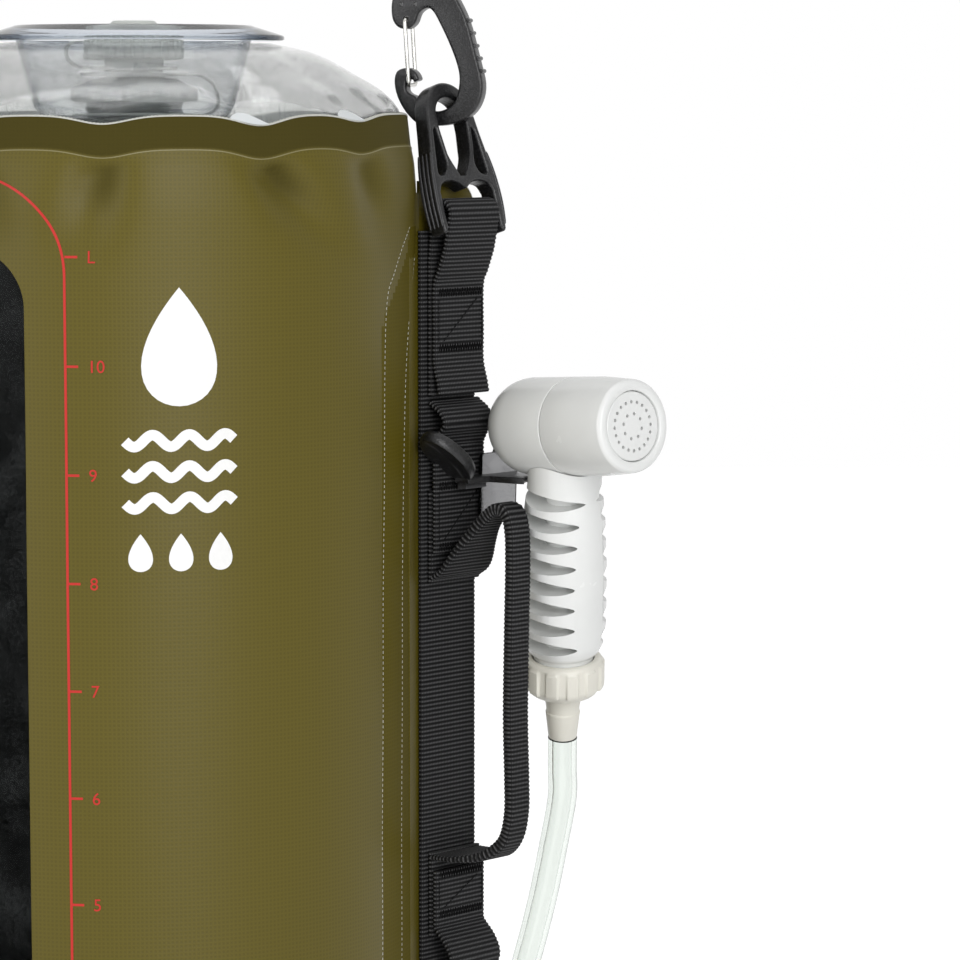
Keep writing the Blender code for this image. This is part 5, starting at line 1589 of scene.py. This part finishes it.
def ring_turn(side):
    return (
        side_turn(side)
        @ moved(settings().webbing.width / 2, -RING_PIVOT_N, RING_PIVOT_Z)
        @ Matrix.Rotation(-RING_LEAN, 4, "X")
    )


BEAD_RADIUS = 0.00085
BEAD_PITCH = 0.0019
RING_LEG = ((0.0155, -0.0050), (0.0157, 0.0030), (0.0151, 0.0120), (0.0138, 0.0208))


def taper(share_along):
    """How thick a bead is along itself: it dies out at both of its ends."""
    return 0.25 + 0.75 * math.sqrt(max(0.0, math.sin(math.pi * min(1.0, max(0.0, share_along)))))


def ring_outline():
    legs = [(RING_SLOT_HALF, -0.0056), (0.0142, -0.0075), (0.0155, -0.0058), (0.0157, 0.0030)]
    legs += [(0.0151, 0.0120), (0.0140, 0.0200), (0.0126, 0.0270)]
    arch = arc((0, RING_ARCH_CENTRE), RING_ARCH_RADIUS, 8, 172, 25)
    scallops = [(-RING_SLOT_HALF, 0.0070), (-0.0110, 0.0098), (-0.0070, 0.0107), (-0.0030, 0.0098)]
    scallops += [(0.0, 0.0080), *((-x, t) for x, t in scallops[::-1])]
    right = smooth_path(legs, 5)
    left = [(-x, t) for x, t in right[::-1]]
    return [*right, *arch, *left, *smooth_path(scallops, 5)]


def ring_eye():
    top = arc((0, RING_EYE_CENTRE), RING_EYE_RADIUS, 0, 180, 21)
    left = smooth_path([top[-1], (-0.0066, 0.0270), (-0.0054, 0.0200), (-0.0014, 0.0126)], 5)[1:]
    return [*top, *left, *((-x, t) for x, t in left[::-1])]


def ring_window(mirror):
    points = [(0.0088, 0.0298), (0.0069, 0.0165), (0.0084, 0.0134), (0.0122, 0.0126), (0.0100, 0.0285)]
    return [(mirror * x, t) for x, t in eased(points, 0.0022, 5)]


def build_strap_ring(side):
    turn = ring_turn(side)
    black = finish("black")
    outlines = [ring_outline(), ring_eye(), ring_window(1), ring_window(-1)]
    flat = turn @ UPRIGHT
    ring = slab("moulded_ring_" + side, outlines, RING_DEPTH, black, edge=0.0012, steps=5, turn=flat)
    bar = rod("ring_bar", RING_BAR_RADIUS, 2 * RING_SLOT_HALF + 0.002, black, turn @ SIDEWAYS, 40)
    carve(ring, bar, "UNION")
    beads = []
    line = even_path(smooth_path(RING_LEG, 5), 0.0006)
    for sign in (1, -1):
        for row in range(4):
            deep = (row - 1.5) * BEAD_PITCH
            points = [(sign * (at.x + 0.0001), deep, at.y) for at, _ in line]
            beads.append(sweep(f"bead_{row}", points, circle(BEAD_RADIUS, 10), black, turn=turn, grow=taper))
    ring = merge("moulded_ring_" + side, [ring, *beads])
    return settle(ring, "ring_" + side, "black_acetal", "strap_ring_" + side)


CARABINER_OUTLINE = (
    (0.0066, 0.0329), (0.0108, 0.0244), (0.0144, 0.0115), (0.0164, 0.0030), (0.0155, -0.0030),
    (0.0124, -0.0076), (0.0072, -0.0104), (0.0007, -0.0115), (-0.0062, -0.0109), (-0.0098, -0.0083),
    (-0.0125, -0.0048), (-0.0145, -0.0005), (-0.0152, 0.0040), (-0.0141, 0.0073), (-0.0105, 0.0083),
    (-0.0077, 0.0070), (-0.0064, 0.0044), (-0.0082, 0.0036), (-0.0086, 0.0042), (-0.0104, 0.0043),
    (-0.0108, 0.0010), (-0.0096, -0.0005), (-0.0078, -0.0013), (-0.0064, -0.0034), (-0.0040, -0.0056),
    (-0.0008, -0.0065), (0.0026, -0.0060), (0.0055, -0.0042), (0.0073, -0.0010), (0.0081, 0.0045),
    (0.0072, 0.0095), (0.0048, 0.0158), (0.0018, 0.0221), (-0.0012, 0.0274), (-0.0035, 0.0286),
    (-0.0062, 0.0270), (-0.0078, 0.0234), (-0.0104, 0.0216), (-0.0138, 0.0222), (-0.0159, 0.0252),
    (-0.0161, 0.0306), (-0.0145, 0.0350), (-0.0110, 0.0378), (-0.0050, 0.0387), (0.0012, 0.0384),
    (0.0046, 0.0366),
)


def carabiner_turn(side):
    reach = (RING_ARCH_CENTRE + RING_ARCH_RADIUS + RING_EYE_CENTRE + RING_EYE_RADIUS) / 2
    off = -RING_PIVOT_N + reach * math.sin(RING_LEAN)
    height = RING_PIVOT_Z + reach * math.cos(RING_LEAN)
    turn = Matrix.Rotation(CARABINER_HEADING - SIDE_TURN, 4, "Z")
    return side_turn(side) @ moved(settings().webbing.width / 2, off, height) @ turn


def build_carabiner(side):
    turn = carabiner_turn(side)
    black = finish("black")
    outline = smooth_path(CARABINER_OUTLINE, 4, closed=True)
    flat = turn @ UPRIGHT
    body = slab("carabiner_" + side, [outline], CARABINER_DEPTH, black, edge=0.0011, steps=4, turn=flat)
    for i in range(5):
        share_down = i / 4
        at = turn @ moved(0.0109 + 0.0048 * share_down, 0, 0.0244 - 0.0172 * share_down) @ UPRIGHT
        carve(body, rod("spine_ridge", 0.00075, CARABINER_DEPTH - 0.0016, black, at, 20, 0.0003), "UNION")
    holes = [(*GATE_PIVOT, GATE_WIRE + 0.0004), (-0.0126, 0.0300, 0.0008), (-0.0076, 0.0300, 0.0008)]
    for x, z, radius in holes:
        carve(body, rod("hole", radius, 0.02, black, turn @ moved(x, 0, z) @ UPRIGHT, 24))
    settle(body, "carabiner_" + side, "black_acetal", "carabiner_body_" + side)
    x_top, z_top = GATE_PIVOT
    x_foot, z_foot = GATE_FOOT
    spread, bend = GATE_HALF_SPREAD, 0.0016
    top = arc((spread - bend, z_top - bend), bend, 90, 0, 8)
    foot = arc((spread - bend, z_foot + bend), bend, 0, -90, 8)
    half = [(x_top, 0.0012, z_top)] + [(x_top, y, z) for y, z in top] + [(x_foot, y, z) for y, z in foot]
    wire = half + [(x, -y, z) for x, y, z in half[::-1]]
    gate = sweep("gate_wire_" + side, wire, circle(GATE_WIRE, 14), finish("wire"), turn=turn)
    return settle(gate, "gate_" + side, "steel_wire", "carabiner_gate_" + side)


# Handset holder


def build_holder():
    turn = side_turn("right")
    black = finish("black")
    fork_end = 0.0410
    notch = []
    for i in range(25):
        u = fork_end - 0.0220 * i / 24
        notch.append((u, -(0.0402 - math.sqrt(0.0140**2 - (u - 0.0297) ** 2))))
    outline = [(0.0070, -0.0100), (0.0184, -0.0100), (0.0184, -0.0117), (fork_end, -0.0117), *notch]
    outline += [(0.0180, -0.0270), (0.0165, -0.0175), (0.0070, -0.0160)]
    plate_turn = turn @ moved(0, 0, 0.2997)
    plate = slab("holder_fork", [outline], 0.0022, black, edge=0.0004, steps=2, turn=plate_turn)
    toggle_turn = turn @ moved(0.0004, -0.0128, 0.3085) @ turned(39.0, "Y")
    toggle_turn = toggle_turn @ Matrix.Diagonal((1.0, 0.62, 1.7, 1.0))
    dish = [(0, 0.0006), (0.0060, 0.0007), (0.0104, 0.0012), (0.0122, 0.0013), (0.0130, 0.0004)]
    dish += [(0.0130, -0.0006), (0.0122, -0.0013), (0.0104, -0.0012), (0.0060, -0.0007), (0, -0.0006)]
    toggle = lathe("holder_toggle", dish, black, 72, toggle_turn, False, 0.0004)
    carve(plate, toggle, "UNION")
    outline = [(0.0070, -0.0150), (0.0172, -0.0150), (0.0172, -0.0112), (0.0070, -0.0112)]
    rib = slab("holder_rib", [outline], 0.0026, black, edge=0.0003, turn=turn @ moved(0, 0, 0.2981))
    carve(plate, rib, "UNION")
    settle(plate, "bag", "black_acetal", "handset_holder")
    outline = [(0.0205, -0.0180), (0.0355, -0.0180), (0.0370, -0.0165), (0.0370, 0.0195), (0.0355, 0.0210)]
    outline += [(0.0272, 0.0210), (0.0258, 0.0196), (0.0258, 0.0050), (0.0190, 0.0050), (0.0190, -0.0165)]
    blade_turn = turn @ moved(0, -0.0106, 0.3030) @ turned(92, "X")
    outline = eased(outline, 0.001)
    blade = slab("smoky_blade", [outline], 0.0016, finish("blade"), edge=0.0003, turn=blade_turn)
    return settle(blade, "bag", "smoky_plastic", "holder_tongue")


# Handset


def barrel_direction():
    level = math.cos(BARREL_RISE)
    return Vector((level * math.cos(BARREL_HEADING), level * math.sin(BARREL_HEADING), math.sin(BARREL_RISE)))


def handle_direction():
    lean = math.sin(HANDLE_LEAN)
    return Vector((lean * math.cos(HANDLE_HEADING), lean * math.sin(HANDLE_HEADING), math.cos(HANDLE_LEAN)))


def frame_along(origin, z_axis, towards):
    """A matrix whose Z is z_axis and whose X leans towards another direction."""
    x_axis = (towards - towards.dot(z_axis) * z_axis).normalized()
    matrix = Matrix((x_axis, z_axis.cross(x_axis), z_axis)).transposed().to_4x4()
    return Matrix.Translation(origin) @ matrix


def barrel_turn():
    return frame_along(NECK_POINT, barrel_direction(), handle_direction())


def handle_turn():
    return frame_along(NECK_POINT, handle_direction(), barrel_direction())


def build_barrel():
    handset = settings().handset
    turn = barrel_turn()
    radius, wall = BARREL_RADIUS, BARREL_WALL
    rear_centre = FACE_REACH - BARREL_LENGTH + radius
    seam = SEAM_REACH - GAP / 2
    white = finish("white")
    dome = arc((0, rear_centre), radius, -90, 0, 18)
    bore = arc((0, rear_centre), radius - wall, 0, -90, 12)
    profile = [*dome, (radius, seam), (radius - wall, seam), *bore]
    rear = lathe("rear_shell", profile, white, 128, turn, False, 0.00025)
    carve(rear, rod("port", 0.0040, 0.02, white, turn @ moved(-radius, 0, 0) @ SIDEWAYS))
    settle(rear, "handset", "white_plastic", "handset_rear_shell")
    face = FACE_REACH
    recess = face - 0.0012 - PLATE_THICKNESS
    profile = [
        (PLATE_RADIUS + GAP, face - 0.0004), (0.0135, face), (FACE_RIM_RADIUS - 0.0008, face - 0.0003),
        (FACE_RIM_RADIUS, face - 0.0014), (radius - 0.0005, face - 0.0075), (radius, face - 0.0150),
        (radius, SEAM_REACH + GAP / 2), (radius - wall, SEAM_REACH + GAP / 2),
        (radius - wall, face - 0.0065), (PLATE_RADIUS - 0.0012, face - 0.0050),
        (PLATE_RADIUS - 0.0012, recess), (PLATE_RADIUS + GAP, recess),
    ]
    front = lathe("front_shell", profile, white, 128, turn, True, 0.0005)
    settle(front, "handset", "white_plastic", "handset_front_shell")
    back = recess + GAP
    front_face = back + PLATE_THICKNESS
    profile = [(0, front_face), (PLATE_RADIUS - 0.0004, front_face), (PLATE_RADIUS, front_face - 0.0004)]
    profile += [(PLATE_RADIUS, back), (0, back)]
    plate = lathe("jet_plate", profile, white, 96, turn, False, 0.0002)
    work = bmesh.new()
    hole = {"cap_ends": True, "segments": 14, "radius1": JET_RADIUS, "radius2": JET_RADIUS, "depth": 0.01}
    for count, ring in ((handset.outer_jets, OUTER_JET_RING), (handset.inner_jets, INNER_JET_RING)):
        for i in range(count):
            turn_round = 2 * math.pi * (i + 0.5) / count
            x, y = ring * math.cos(turn_round), ring * math.sin(turn_round)
            bmesh.ops.create_cone(work, matrix=moved(x, y, (front_face + back) / 2), **hole)
    jets = bpy.data.meshes.new("jets")
    work.to_mesh(jets)
    work.free()
    jets.transform(turn)
    carve(plate, show("jets", jets, white))
    return settle(plate, "handset", "white_plastic", "spray_plate")


GRIP_SIDE = (
    (0.0126, -0.0100), (0.0128, -0.0205), (0.0141, -0.0320), (0.0149, -0.0520), (0.0148, -0.0720),
    (0.0141, -0.0790), (0.0124, -0.0826),
)
TOP_SLOT = -0.0243
SLOT_SHAPE = Matrix.Diagonal((0.0130, 0.0026, 1.0, 1.0))
NOTCH_SHAPE = Matrix.Diagonal((0.0021, 0.0027, 1.0, 1.0))
NOTCH_TURN = 50.0
CORE_RADIUS = 0.0065
WATER_BORE = 0.0038


def grip_reach(height):
    """The grip's radius at a height along it."""
    for (above, high), (below, low) in zip(GRIP_SIDE, GRIP_SIDE[1:]):
        if low <= height <= high:
            return below + (above - below) * (height - low) / (high - low)
    return GRIP_SIDE[-1][0]


def build_grip():
    handset = settings().handset
    turn = handle_turn()
    white = finish("white")
    profile = [
        (0, -0.0100),
        *GRIP_SIDE,
        (THREAD_RADIUS, -0.0840), (THREAD_RADIUS, THREAD_END + 0.0008),
        (THREAD_RADIUS - 0.0008, THREAD_END), (0, THREAD_END),
    ]
    grip = lathe("slotted_grip", profile, white, 96, turn, False, 0.0012)
    saddle = rod("saddle", BARREL_RADIUS + GAP, 0.08, white, barrel_turn(), 96)
    carve(grip, saddle)
    for i in range(handset.slots):
        middle = TOP_SLOT - i * handset.slot_pitch
        slot = turn @ moved(0, 0, middle) @ UPRIGHT @ SLOT_SHAPE
        carve(grip, rod("slot", 1.0, 0.05, white, slot, 48))
        height = middle + 0.0012
        reach = moved(grip_reach(height) + 0.0004, 0, height)
        notch = turn @ turned(NOTCH_TURN, "Z") @ reach @ turned(-20, "Y") @ UPRIGHT @ NOTCH_SHAPE
        carve(grip, rod("notch", 1.0, 0.03, white, notch, 24))
    top, bottom = TOP_SLOT + 0.005, TOP_SLOT - handset.slot_pitch * (handset.slots - 1) - 0.004
    core_turn = turn @ moved(0, 0, (top + bottom) / 2)
    carve(grip, rod("core", CORE_RADIUS, top - bottom, white, core_turn, 48), "UNION")
    carve(grip, rod("bore", WATER_BORE, 0.12, white, turn @ moved(0, 0, -0.055), 32))
    return settle(grip, "handset", "white_plastic", "handset_grip")


def build_nut_and_tail():
    turn = handle_turn()
    low_hole = 0.0069
    profile = [
        (NUT_RADIUS - 0.0012, NUT_TOP), (NUT_RADIUS, NUT_TOP - 0.0010), (NUT_RADIUS, NUT_TOP - 0.0024),
        (NUT_RADIUS, NUT_BOTTOM + 0.0046), (NUT_RADIUS - 0.0004, NUT_BOTTOM + 0.0036),
        (0.0118, NUT_BOTTOM + 0.0014), (0.0086, NUT_BOTTOM), (low_hole, NUT_BOTTOM),
        (low_hole, NUT_BOTTOM + 0.0012), (THREAD_RADIUS + 0.0004, NUT_BOTTOM + 0.0012),
        (THREAD_RADIUS + 0.0004, NUT_TOP),
    ]
    grip = blocks(12, 0.0009, NUT_BOTTOM + 0.0032, NUT_TOP - 0.0020, crown=0.45, reach=NUT_RADIUS - 0.0002)
    nut = lathe("ribbed_nut", profile, finish("ivory"), 144, turn, True, 0.0005, swell=grip)
    settle(nut, "union_nut", "ivory_plastic", "union_nut")
    flange_top = THREAD_END - GAP - 0.0016 - GAP
    profile = [
        (0.0100, flange_top), (0.0100, flange_top - 0.0014), (0.0064, flange_top - 0.0014),
        (0.0064, -0.1012), (0.0057, -0.1058), (0.0061, -0.1062), (0.0050, TAIL_END), (0.0028, TAIL_END),
        (0.0028, flange_top),
    ]
    tail = lathe("barbed_tail", profile, finish("ivory"), 64, turn, True, 0.0003)
    return settle(tail, "handset", "ivory_plastic", "hose_tail")


# Outlet and tap


def outlet_turn(reach):
    at = moved(reach * math.cos(OUTLET_ANGLE), reach * math.sin(OUTLET_ANGLE), OUTLET_HEIGHT)
    return at @ Matrix.Rotation(OUTLET_ANGLE, 4, "Z") @ SIDEWAYS


def tap_turn():
    centre = Vector((math.cos(OUTLET_ANGLE), math.sin(OUTLET_ANGLE), 0)) * TAP_AXIS_REACH
    centre.z = OUTLET_HEIGHT
    return Matrix.Translation(centre) @ Matrix.Rotation(OUTLET_ANGLE - math.radians(90), 4, "Z")


def build_outlet():
    black = finish("black")
    wide, low = 0.0138, -0.0020
    profile = [(0.0080, FLANGE_LENGTH), (0.0080, 0.0), (wide, 0.0), (wide, low), (0.0050, low)]
    profile.append((0.0050, FLANGE_LENGTH))
    flange = lathe("bulkhead_flange", profile, black, 64, outlet_turn(FLANGE_REACH), True, 0.0003)
    settle(flange, "bag", "black_acetal", "outlet_flange")
    hexagon = eased([on_circle(wide, a) for a in range(0, 360, 60)], 0.002)
    nut_turn = outlet_turn(settings().bag.radius + 0.0018 + 2 * GAP + 0.0025)
    nut = slab("bulkhead_nut", [hexagon, circle(OUTLET_HOLE, 48)], 0.0050, black, edge=0.0005, turn=nut_turn)
    return settle(nut, "bag", "black_acetal", "outlet_locknut")


def build_tap():
    turn = tap_turn()
    black = finish("black")
    profile = [(0, 0.0115), (0.0080, 0.0115), (0.0095, 0.0100), (0.0095, -0.0105), (0.0080, -0.0120)]
    body = lathe("tap_elbow", [*profile, (0, -0.0120)], black, 72, turn, False, 0.0006)
    length = TAP_AXIS_REACH - (FLANGE_REACH + FLANGE_LENGTH + GAP)
    inlet = rod("inlet", 0.0098, length, black, turn @ moved(0, -length / 2, 0) @ UPRIGHT, 64)
    carve(body, inlet, "UNION")
    profile = [
        (0, TAP_BARB_REACH), (0.0046, TAP_BARB_REACH), (0.0056, 0.0270), (0.0050, 0.0268),
        (0.0060, 0.0205), (0.0064, 0.0200), (0.0072, 0.0120), (0.0072, 0.0), (0, 0.0),
    ]
    barb = lathe("barb", profile, black, 64, turn @ SIDEWAYS, False, 0.0003)
    carve(body, barb, "UNION")
    settle(body, "bag", "black_acetal", "tap_body")
    profile = [(0, 0.0178), (0.0074, 0.0178), (0.0086, 0.0168), (0.0086, 0.0118), (0, 0.0118)]
    lever = lathe("lever_hub", profile, black, 64, turn, False, 0.0005)
    outline = eased([(0.0, -0.0028), (0.0285, -0.0028), (0.0285, 0.0028), (0.0, 0.0028)], 0.0024, 6)
    blade = slab("lever_blade", [outline], 0.0044, black, edge=0.0012, turn=turn @ moved(0, 0, 0.0148))
    carve(lever, blade, "UNION")
    return settle(lever, "tap_lever", "black_acetal", "tap_lever")


def hose_route():
    turn = tap_turn()
    along = (turn.to_3x3() @ Vector((1, 0, 0))).normalized()
    start = turn @ Vector((TAP_BARB_REACH + GAP, 0, 0))
    down = -handle_direction()
    end = handle_turn() @ Vector((0, 0, TAIL_END - GAP))
    straight = 0.012
    points = [start, start + along * straight, *HOSE_ROUTE]
    points += [end + down * 2 * straight, end + down * straight, end]
    return smooth_path(points, 8)


def build_hose():
    """A hollow clear tube from the tap's barb, round the back of the bag and up to the handset's tail."""
    hose = settings().hose
    route = hose_route()
    sides = 40
    outside, inside = [], []
    side = run_at(route, 0).orthogonal()
    for i, at in enumerate(route):
        along = run_at(route, i)
        side = (side - side.dot(along) * along).normalized()
        up = along.cross(side)
        for radius, rows in ((hose.radius, outside), (hose.bore, inside)):
            rows.append([at + side * x + up * y for x, y in circle(radius, sides)])
    points = [point for row in outside + inside[::-1] for point in row]
    faces = grid_faces(2 * len(route), sides, close_rows=True)
    made = solid("clear_hose_tube", points, faces, finish("hose"), sharp=80)
    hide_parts("hose")
    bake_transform(made)
    return made


# Parts of the frame that are shown as they are

PLAIN_NODES = {
    "filler_gasket": "rubber",
    "spout_gasket": "rubber",
    "nut_washer": "rubber",
    "outlet_washer": "rubber",
}


def finish_plain_nodes():
    for node, name in PLAIN_NODES.items():
        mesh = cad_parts[node].data
        mesh.materials.clear()
        mesh.materials.append(finish(name))


# Stage


def lamp(name, place, target, across, power):
    light = bpy.data.lights.new(name, "AREA")
    light.shape = "RECTANGLE"
    light.size, light.size_y = across
    light.energy = power
    obj = bpy.data.objects.new(name, light)
    obj.location = place
    obj.rotation_euler = (Vector(place) - Vector(target)).to_track_quat("Z", "Y").to_euler()
    bpy.context.scene.collection.objects.link(obj)
    return obj


def seen_rays(tree):
    """1 for the rays that show a surface to the eye: straight, mirrored or through clear plastic."""
    path = tree.nodes.new("ShaderNodeLightPath")
    rays = path.outputs["Is Camera Ray"]
    for name in ("Is Glossy Ray", "Is Transmission Ray"):
        add = tree.nodes.new("ShaderNodeMath")
        add.operation = "MAXIMUM"
        tree.links.new(rays, add.inputs[0])
        tree.links.new(path.outputs[name], add.inputs[1])
        rays = add.outputs[0]
    return rays


def build_stage():
    stage = settings().stage
    scene = bpy.context.scene
    right = Vector((math.cos(stage.camera_turn), math.sin(stage.camera_turn), 0))
    forward = Vector((-right.y, right.x, 0))
    target = right * stage.view_right + Vector((0, 0, stage.view_height))
    look = forward * math.cos(stage.camera_pitch) - Vector((0, 0, math.sin(stage.camera_pitch)))
    camera = bpy.data.cameras.new("camera")
    camera.lens = stage.lens
    camera.sensor_width = 36.0
    camera.clip_start = 0.05
    camera.clip_end = 50.0
    obj = bpy.data.objects.new("camera", camera)
    obj.location = target - look * stage.camera_distance
    obj.rotation_euler = look.to_track_quat("-Z", "Y").to_euler()
    scene.collection.objects.link(obj)
    scene.camera = obj
    scene.view_settings.view_transform = "Standard"
    middle = (0.05, 0.0, 0.28)
    lamp("key_lamp", (0.84, -1.95, 0.85), middle, (0.9, 1.5), stage.key_power)
    lamp("fill_lamp", (-1.35, -1.45, 0.65), middle, (0.9, 1.3), stage.fill_power)
    lamp("top_lamp", (0.0, 0.1, 1.9), middle, (1.2, 1.2), stage.top_power)
    world = bpy.data.worlds.new("studio")
    scene.world = world
    world.use_nodes = True
    tree = world.node_tree
    tree.nodes.clear()
    rays = seen_rays(tree)
    level = tree.nodes.new("ShaderNodeMapRange")
    level.inputs["To Min"].default_value = stage.ambient
    level.inputs["To Max"].default_value = 1.0
    tree.links.new(rays, level.inputs["Value"])
    background = tree.nodes.new("ShaderNodeBackground")
    background.inputs["Color"].default_value = (1, 1, 1, 1)
    tree.links.new(level.outputs["Result"], background.inputs["Strength"])
    output = tree.nodes.new("ShaderNodeOutputWorld")
    tree.links.new(background.outputs[0], output.inputs[0])
    mesh = bpy.data.meshes.new("floor")
    reach = 3.0
    corners = [(-reach, -reach, 0), (reach, -reach, 0), (reach, reach, 0), (-reach, reach, 0)]
    mesh.from_pydata(corners, [], [(0, 1, 2, 3)])
    made = Finish("floor_paper", stage.floor, 0.85)
    tooth = made.grain(300.0, 3.0)
    glow = made.sums("MULTIPLY", seen_rays(made.tree), stage.floor_glow)
    made.put(made.shader, {"Emission Color": (1.0, 1.0, 1.0), "Emission Strength": glow})
    mesh.materials.append(made.shade(Normal=made.bump(tooth, 0.0004, 0.2)))
    floor = bpy.data.objects.new("floor", mesh)
    floor.location.z = -0.0004
    scene.collection.objects.link(floor)
    return obj


# Operators


class SHOWER_OT_stage(bpy.types.Operator):
    """Set up the camera, the lamps, the white surround and the floor"""

    bl_idname = "shower.stage"
    bl_label = "Stage"

    def execute(self, context):
        build_stage()
        return {"FINISHED"}


class SHOWER_OT_hose(bpy.types.Operator):
    """Build the clear hose"""

    bl_idname = "shower.hose"
    bl_label = "Hose"

    def execute(self, context):
        build_hose()
        return {"FINISHED"}


class SHOWER_OT_bag(bpy.types.Operator):
    """Build the fabric tube, its cut rim, its weld lines and its base"""

    bl_idname = "shower.bag"
    bl_label = "Bag"

    def execute(self, context):
        build_bag()
        build_cut_rim()
        build_rim_folds()
        build_weld_lines()
        build_base()
        return {"FINISHED"}


class SHOWER_OT_print(bpy.types.Operator):
    """Print the litre scale and the plain motif on the bag"""

    bl_idname = "shower.print"
    bl_label = "Print"

    def execute(self, context):
        build_scale()
        build_motif()
        return {"FINISHED"}


class SHOWER_OT_films(bpy.types.Operator):
    """Build the level window and the clear top film"""

    bl_idname = "shower.films"
    bl_label = "Films"

    def execute(self, context):
        build_window()
        build_top_film()
        return {"FINISHED"}


class SHOWER_OT_filler(bpy.types.Operator):
    """Build the filler well, its neck, its two caps and their tethers"""

    bl_idname = "shower.filler"
    bl_label = "Filler"

    def execute(self, context):
        build_well()
        build_neck()
        build_filler_cap()
        build_spout_cap()
        build_tethers()
        return {"FINISHED"}


class SHOWER_OT_webbing(bpy.types.Operator):
    """Build the side fins, the straps, their loops and stitching, and the carry handle"""

    bl_idname = "shower.webbing"
    bl_label = "Webbing"

    def execute(self, context):
        for side in ("right", "left"):
            build_fin(side)
            build_fin_root(side)
            build_side_webbing(side)
        build_carry_handle()
        return {"FINISHED"}


class SHOWER_OT_hardware(bpy.types.Operator):
    """Build the strap rings, the carabiners and their wire gates"""

    bl_idname = "shower.hardware"
    bl_label = "Rings and carabiners"

    def execute(self, context):
        for side in ("right", "left"):
            build_strap_ring(side)
            build_carabiner(side)
        return {"FINISHED"}


class SHOWER_OT_holder(bpy.types.Operator):
    """Build the handset holder and its smoky blade"""

    bl_idname = "shower.holder"
    bl_label = "Holder"

    def execute(self, context):
        build_holder()
        return {"FINISHED"}


class SHOWER_OT_handset(bpy.types.Operator):
    """Build the handset's barrel, jet plate, slotted grip, nut and tail"""

    bl_idname = "shower.handset"
    bl_label = "Handset"

    def execute(self, context):
        build_barrel()
        build_grip()
        build_nut_and_tail()
        return {"FINISHED"}


class SHOWER_OT_tap(bpy.types.Operator):
    """Build the bulkhead outlet and the quarter-turn tap"""

    bl_idname = "shower.tap"
    bl_label = "Outlet and tap"

    def execute(self, context):
        build_outlet()
        build_tap()
        return {"FINISHED"}


class SHOWER_OT_plain_parts(bpy.types.Operator):
    """Give the washers and gaskets their rubber"""

    bl_idname = "shower.plain_parts"
    bl_label = "Washers and gaskets"

    def execute(self, context):
        finish_plain_nodes()
        return {"FINISHED"}


OPERATORS = (
    SHOWER_OT_stage,
    SHOWER_OT_hose,
    SHOWER_OT_bag,
    SHOWER_OT_print,
    SHOWER_OT_films,
    SHOWER_OT_filler,
    SHOWER_OT_webbing,
    SHOWER_OT_hardware,
    SHOWER_OT_holder,
    SHOWER_OT_handset,
    SHOWER_OT_tap,
    SHOWER_OT_plain_parts,
)


class SHOWER_PT_panel(bpy.types.Panel):
    """Lists the shower's pieces and their settings"""

    bl_idname = "SHOWER_PT_panel"
    bl_label = "Portable shower"
    bl_space_type = "VIEW_3D"
    bl_region_type = "UI"
    bl_category = "Shower"

    def draw(self, context):
        layout = self.layout
        shower = context.scene.portable_shower
        for operator in OPERATORS:
            layout.operator(operator.bl_idname)
        for group in ("stage", "bag", "filler", "webbing", "hardware", "handset", "hose"):
            box = layout.box()
            box.label(text=group.capitalize())
            held = getattr(shower, group)
            for name in held.__annotations__:
                box.prop(held, name)


CLASSES = (
    StageSettings,
    BagSettings,
    FillerSettings,
    WebbingSettings,
    HardwareSettings,
    HandsetSettings,
    HoseSettings,
    ShowerSettings,
    *OPERATORS,
    SHOWER_PT_panel,
)


def register():
    for made in CLASSES:
        bpy.utils.register_class(made)
    bpy.types.Scene.portable_shower = PointerProperty(type=ShowerSettings)


def unregister():
    del bpy.types.Scene.portable_shower
    for made in reversed(CLASSES):
        bpy.utils.unregister_class(made)


def main():
    register()
    bpy.ops.shower.stage()
    bpy.ops.shower.hose()
    bpy.ops.shower.bag()
    bpy.ops.shower.print()
    bpy.ops.shower.films()
    bpy.ops.shower.filler()
    bpy.ops.shower.webbing()
    bpy.ops.shower.hardware()
    bpy.ops.shower.holder()
    bpy.ops.shower.handset()
    bpy.ops.shower.tap()
    bpy.ops.shower.plain_parts()


if __name__ == "__main__":
    main()
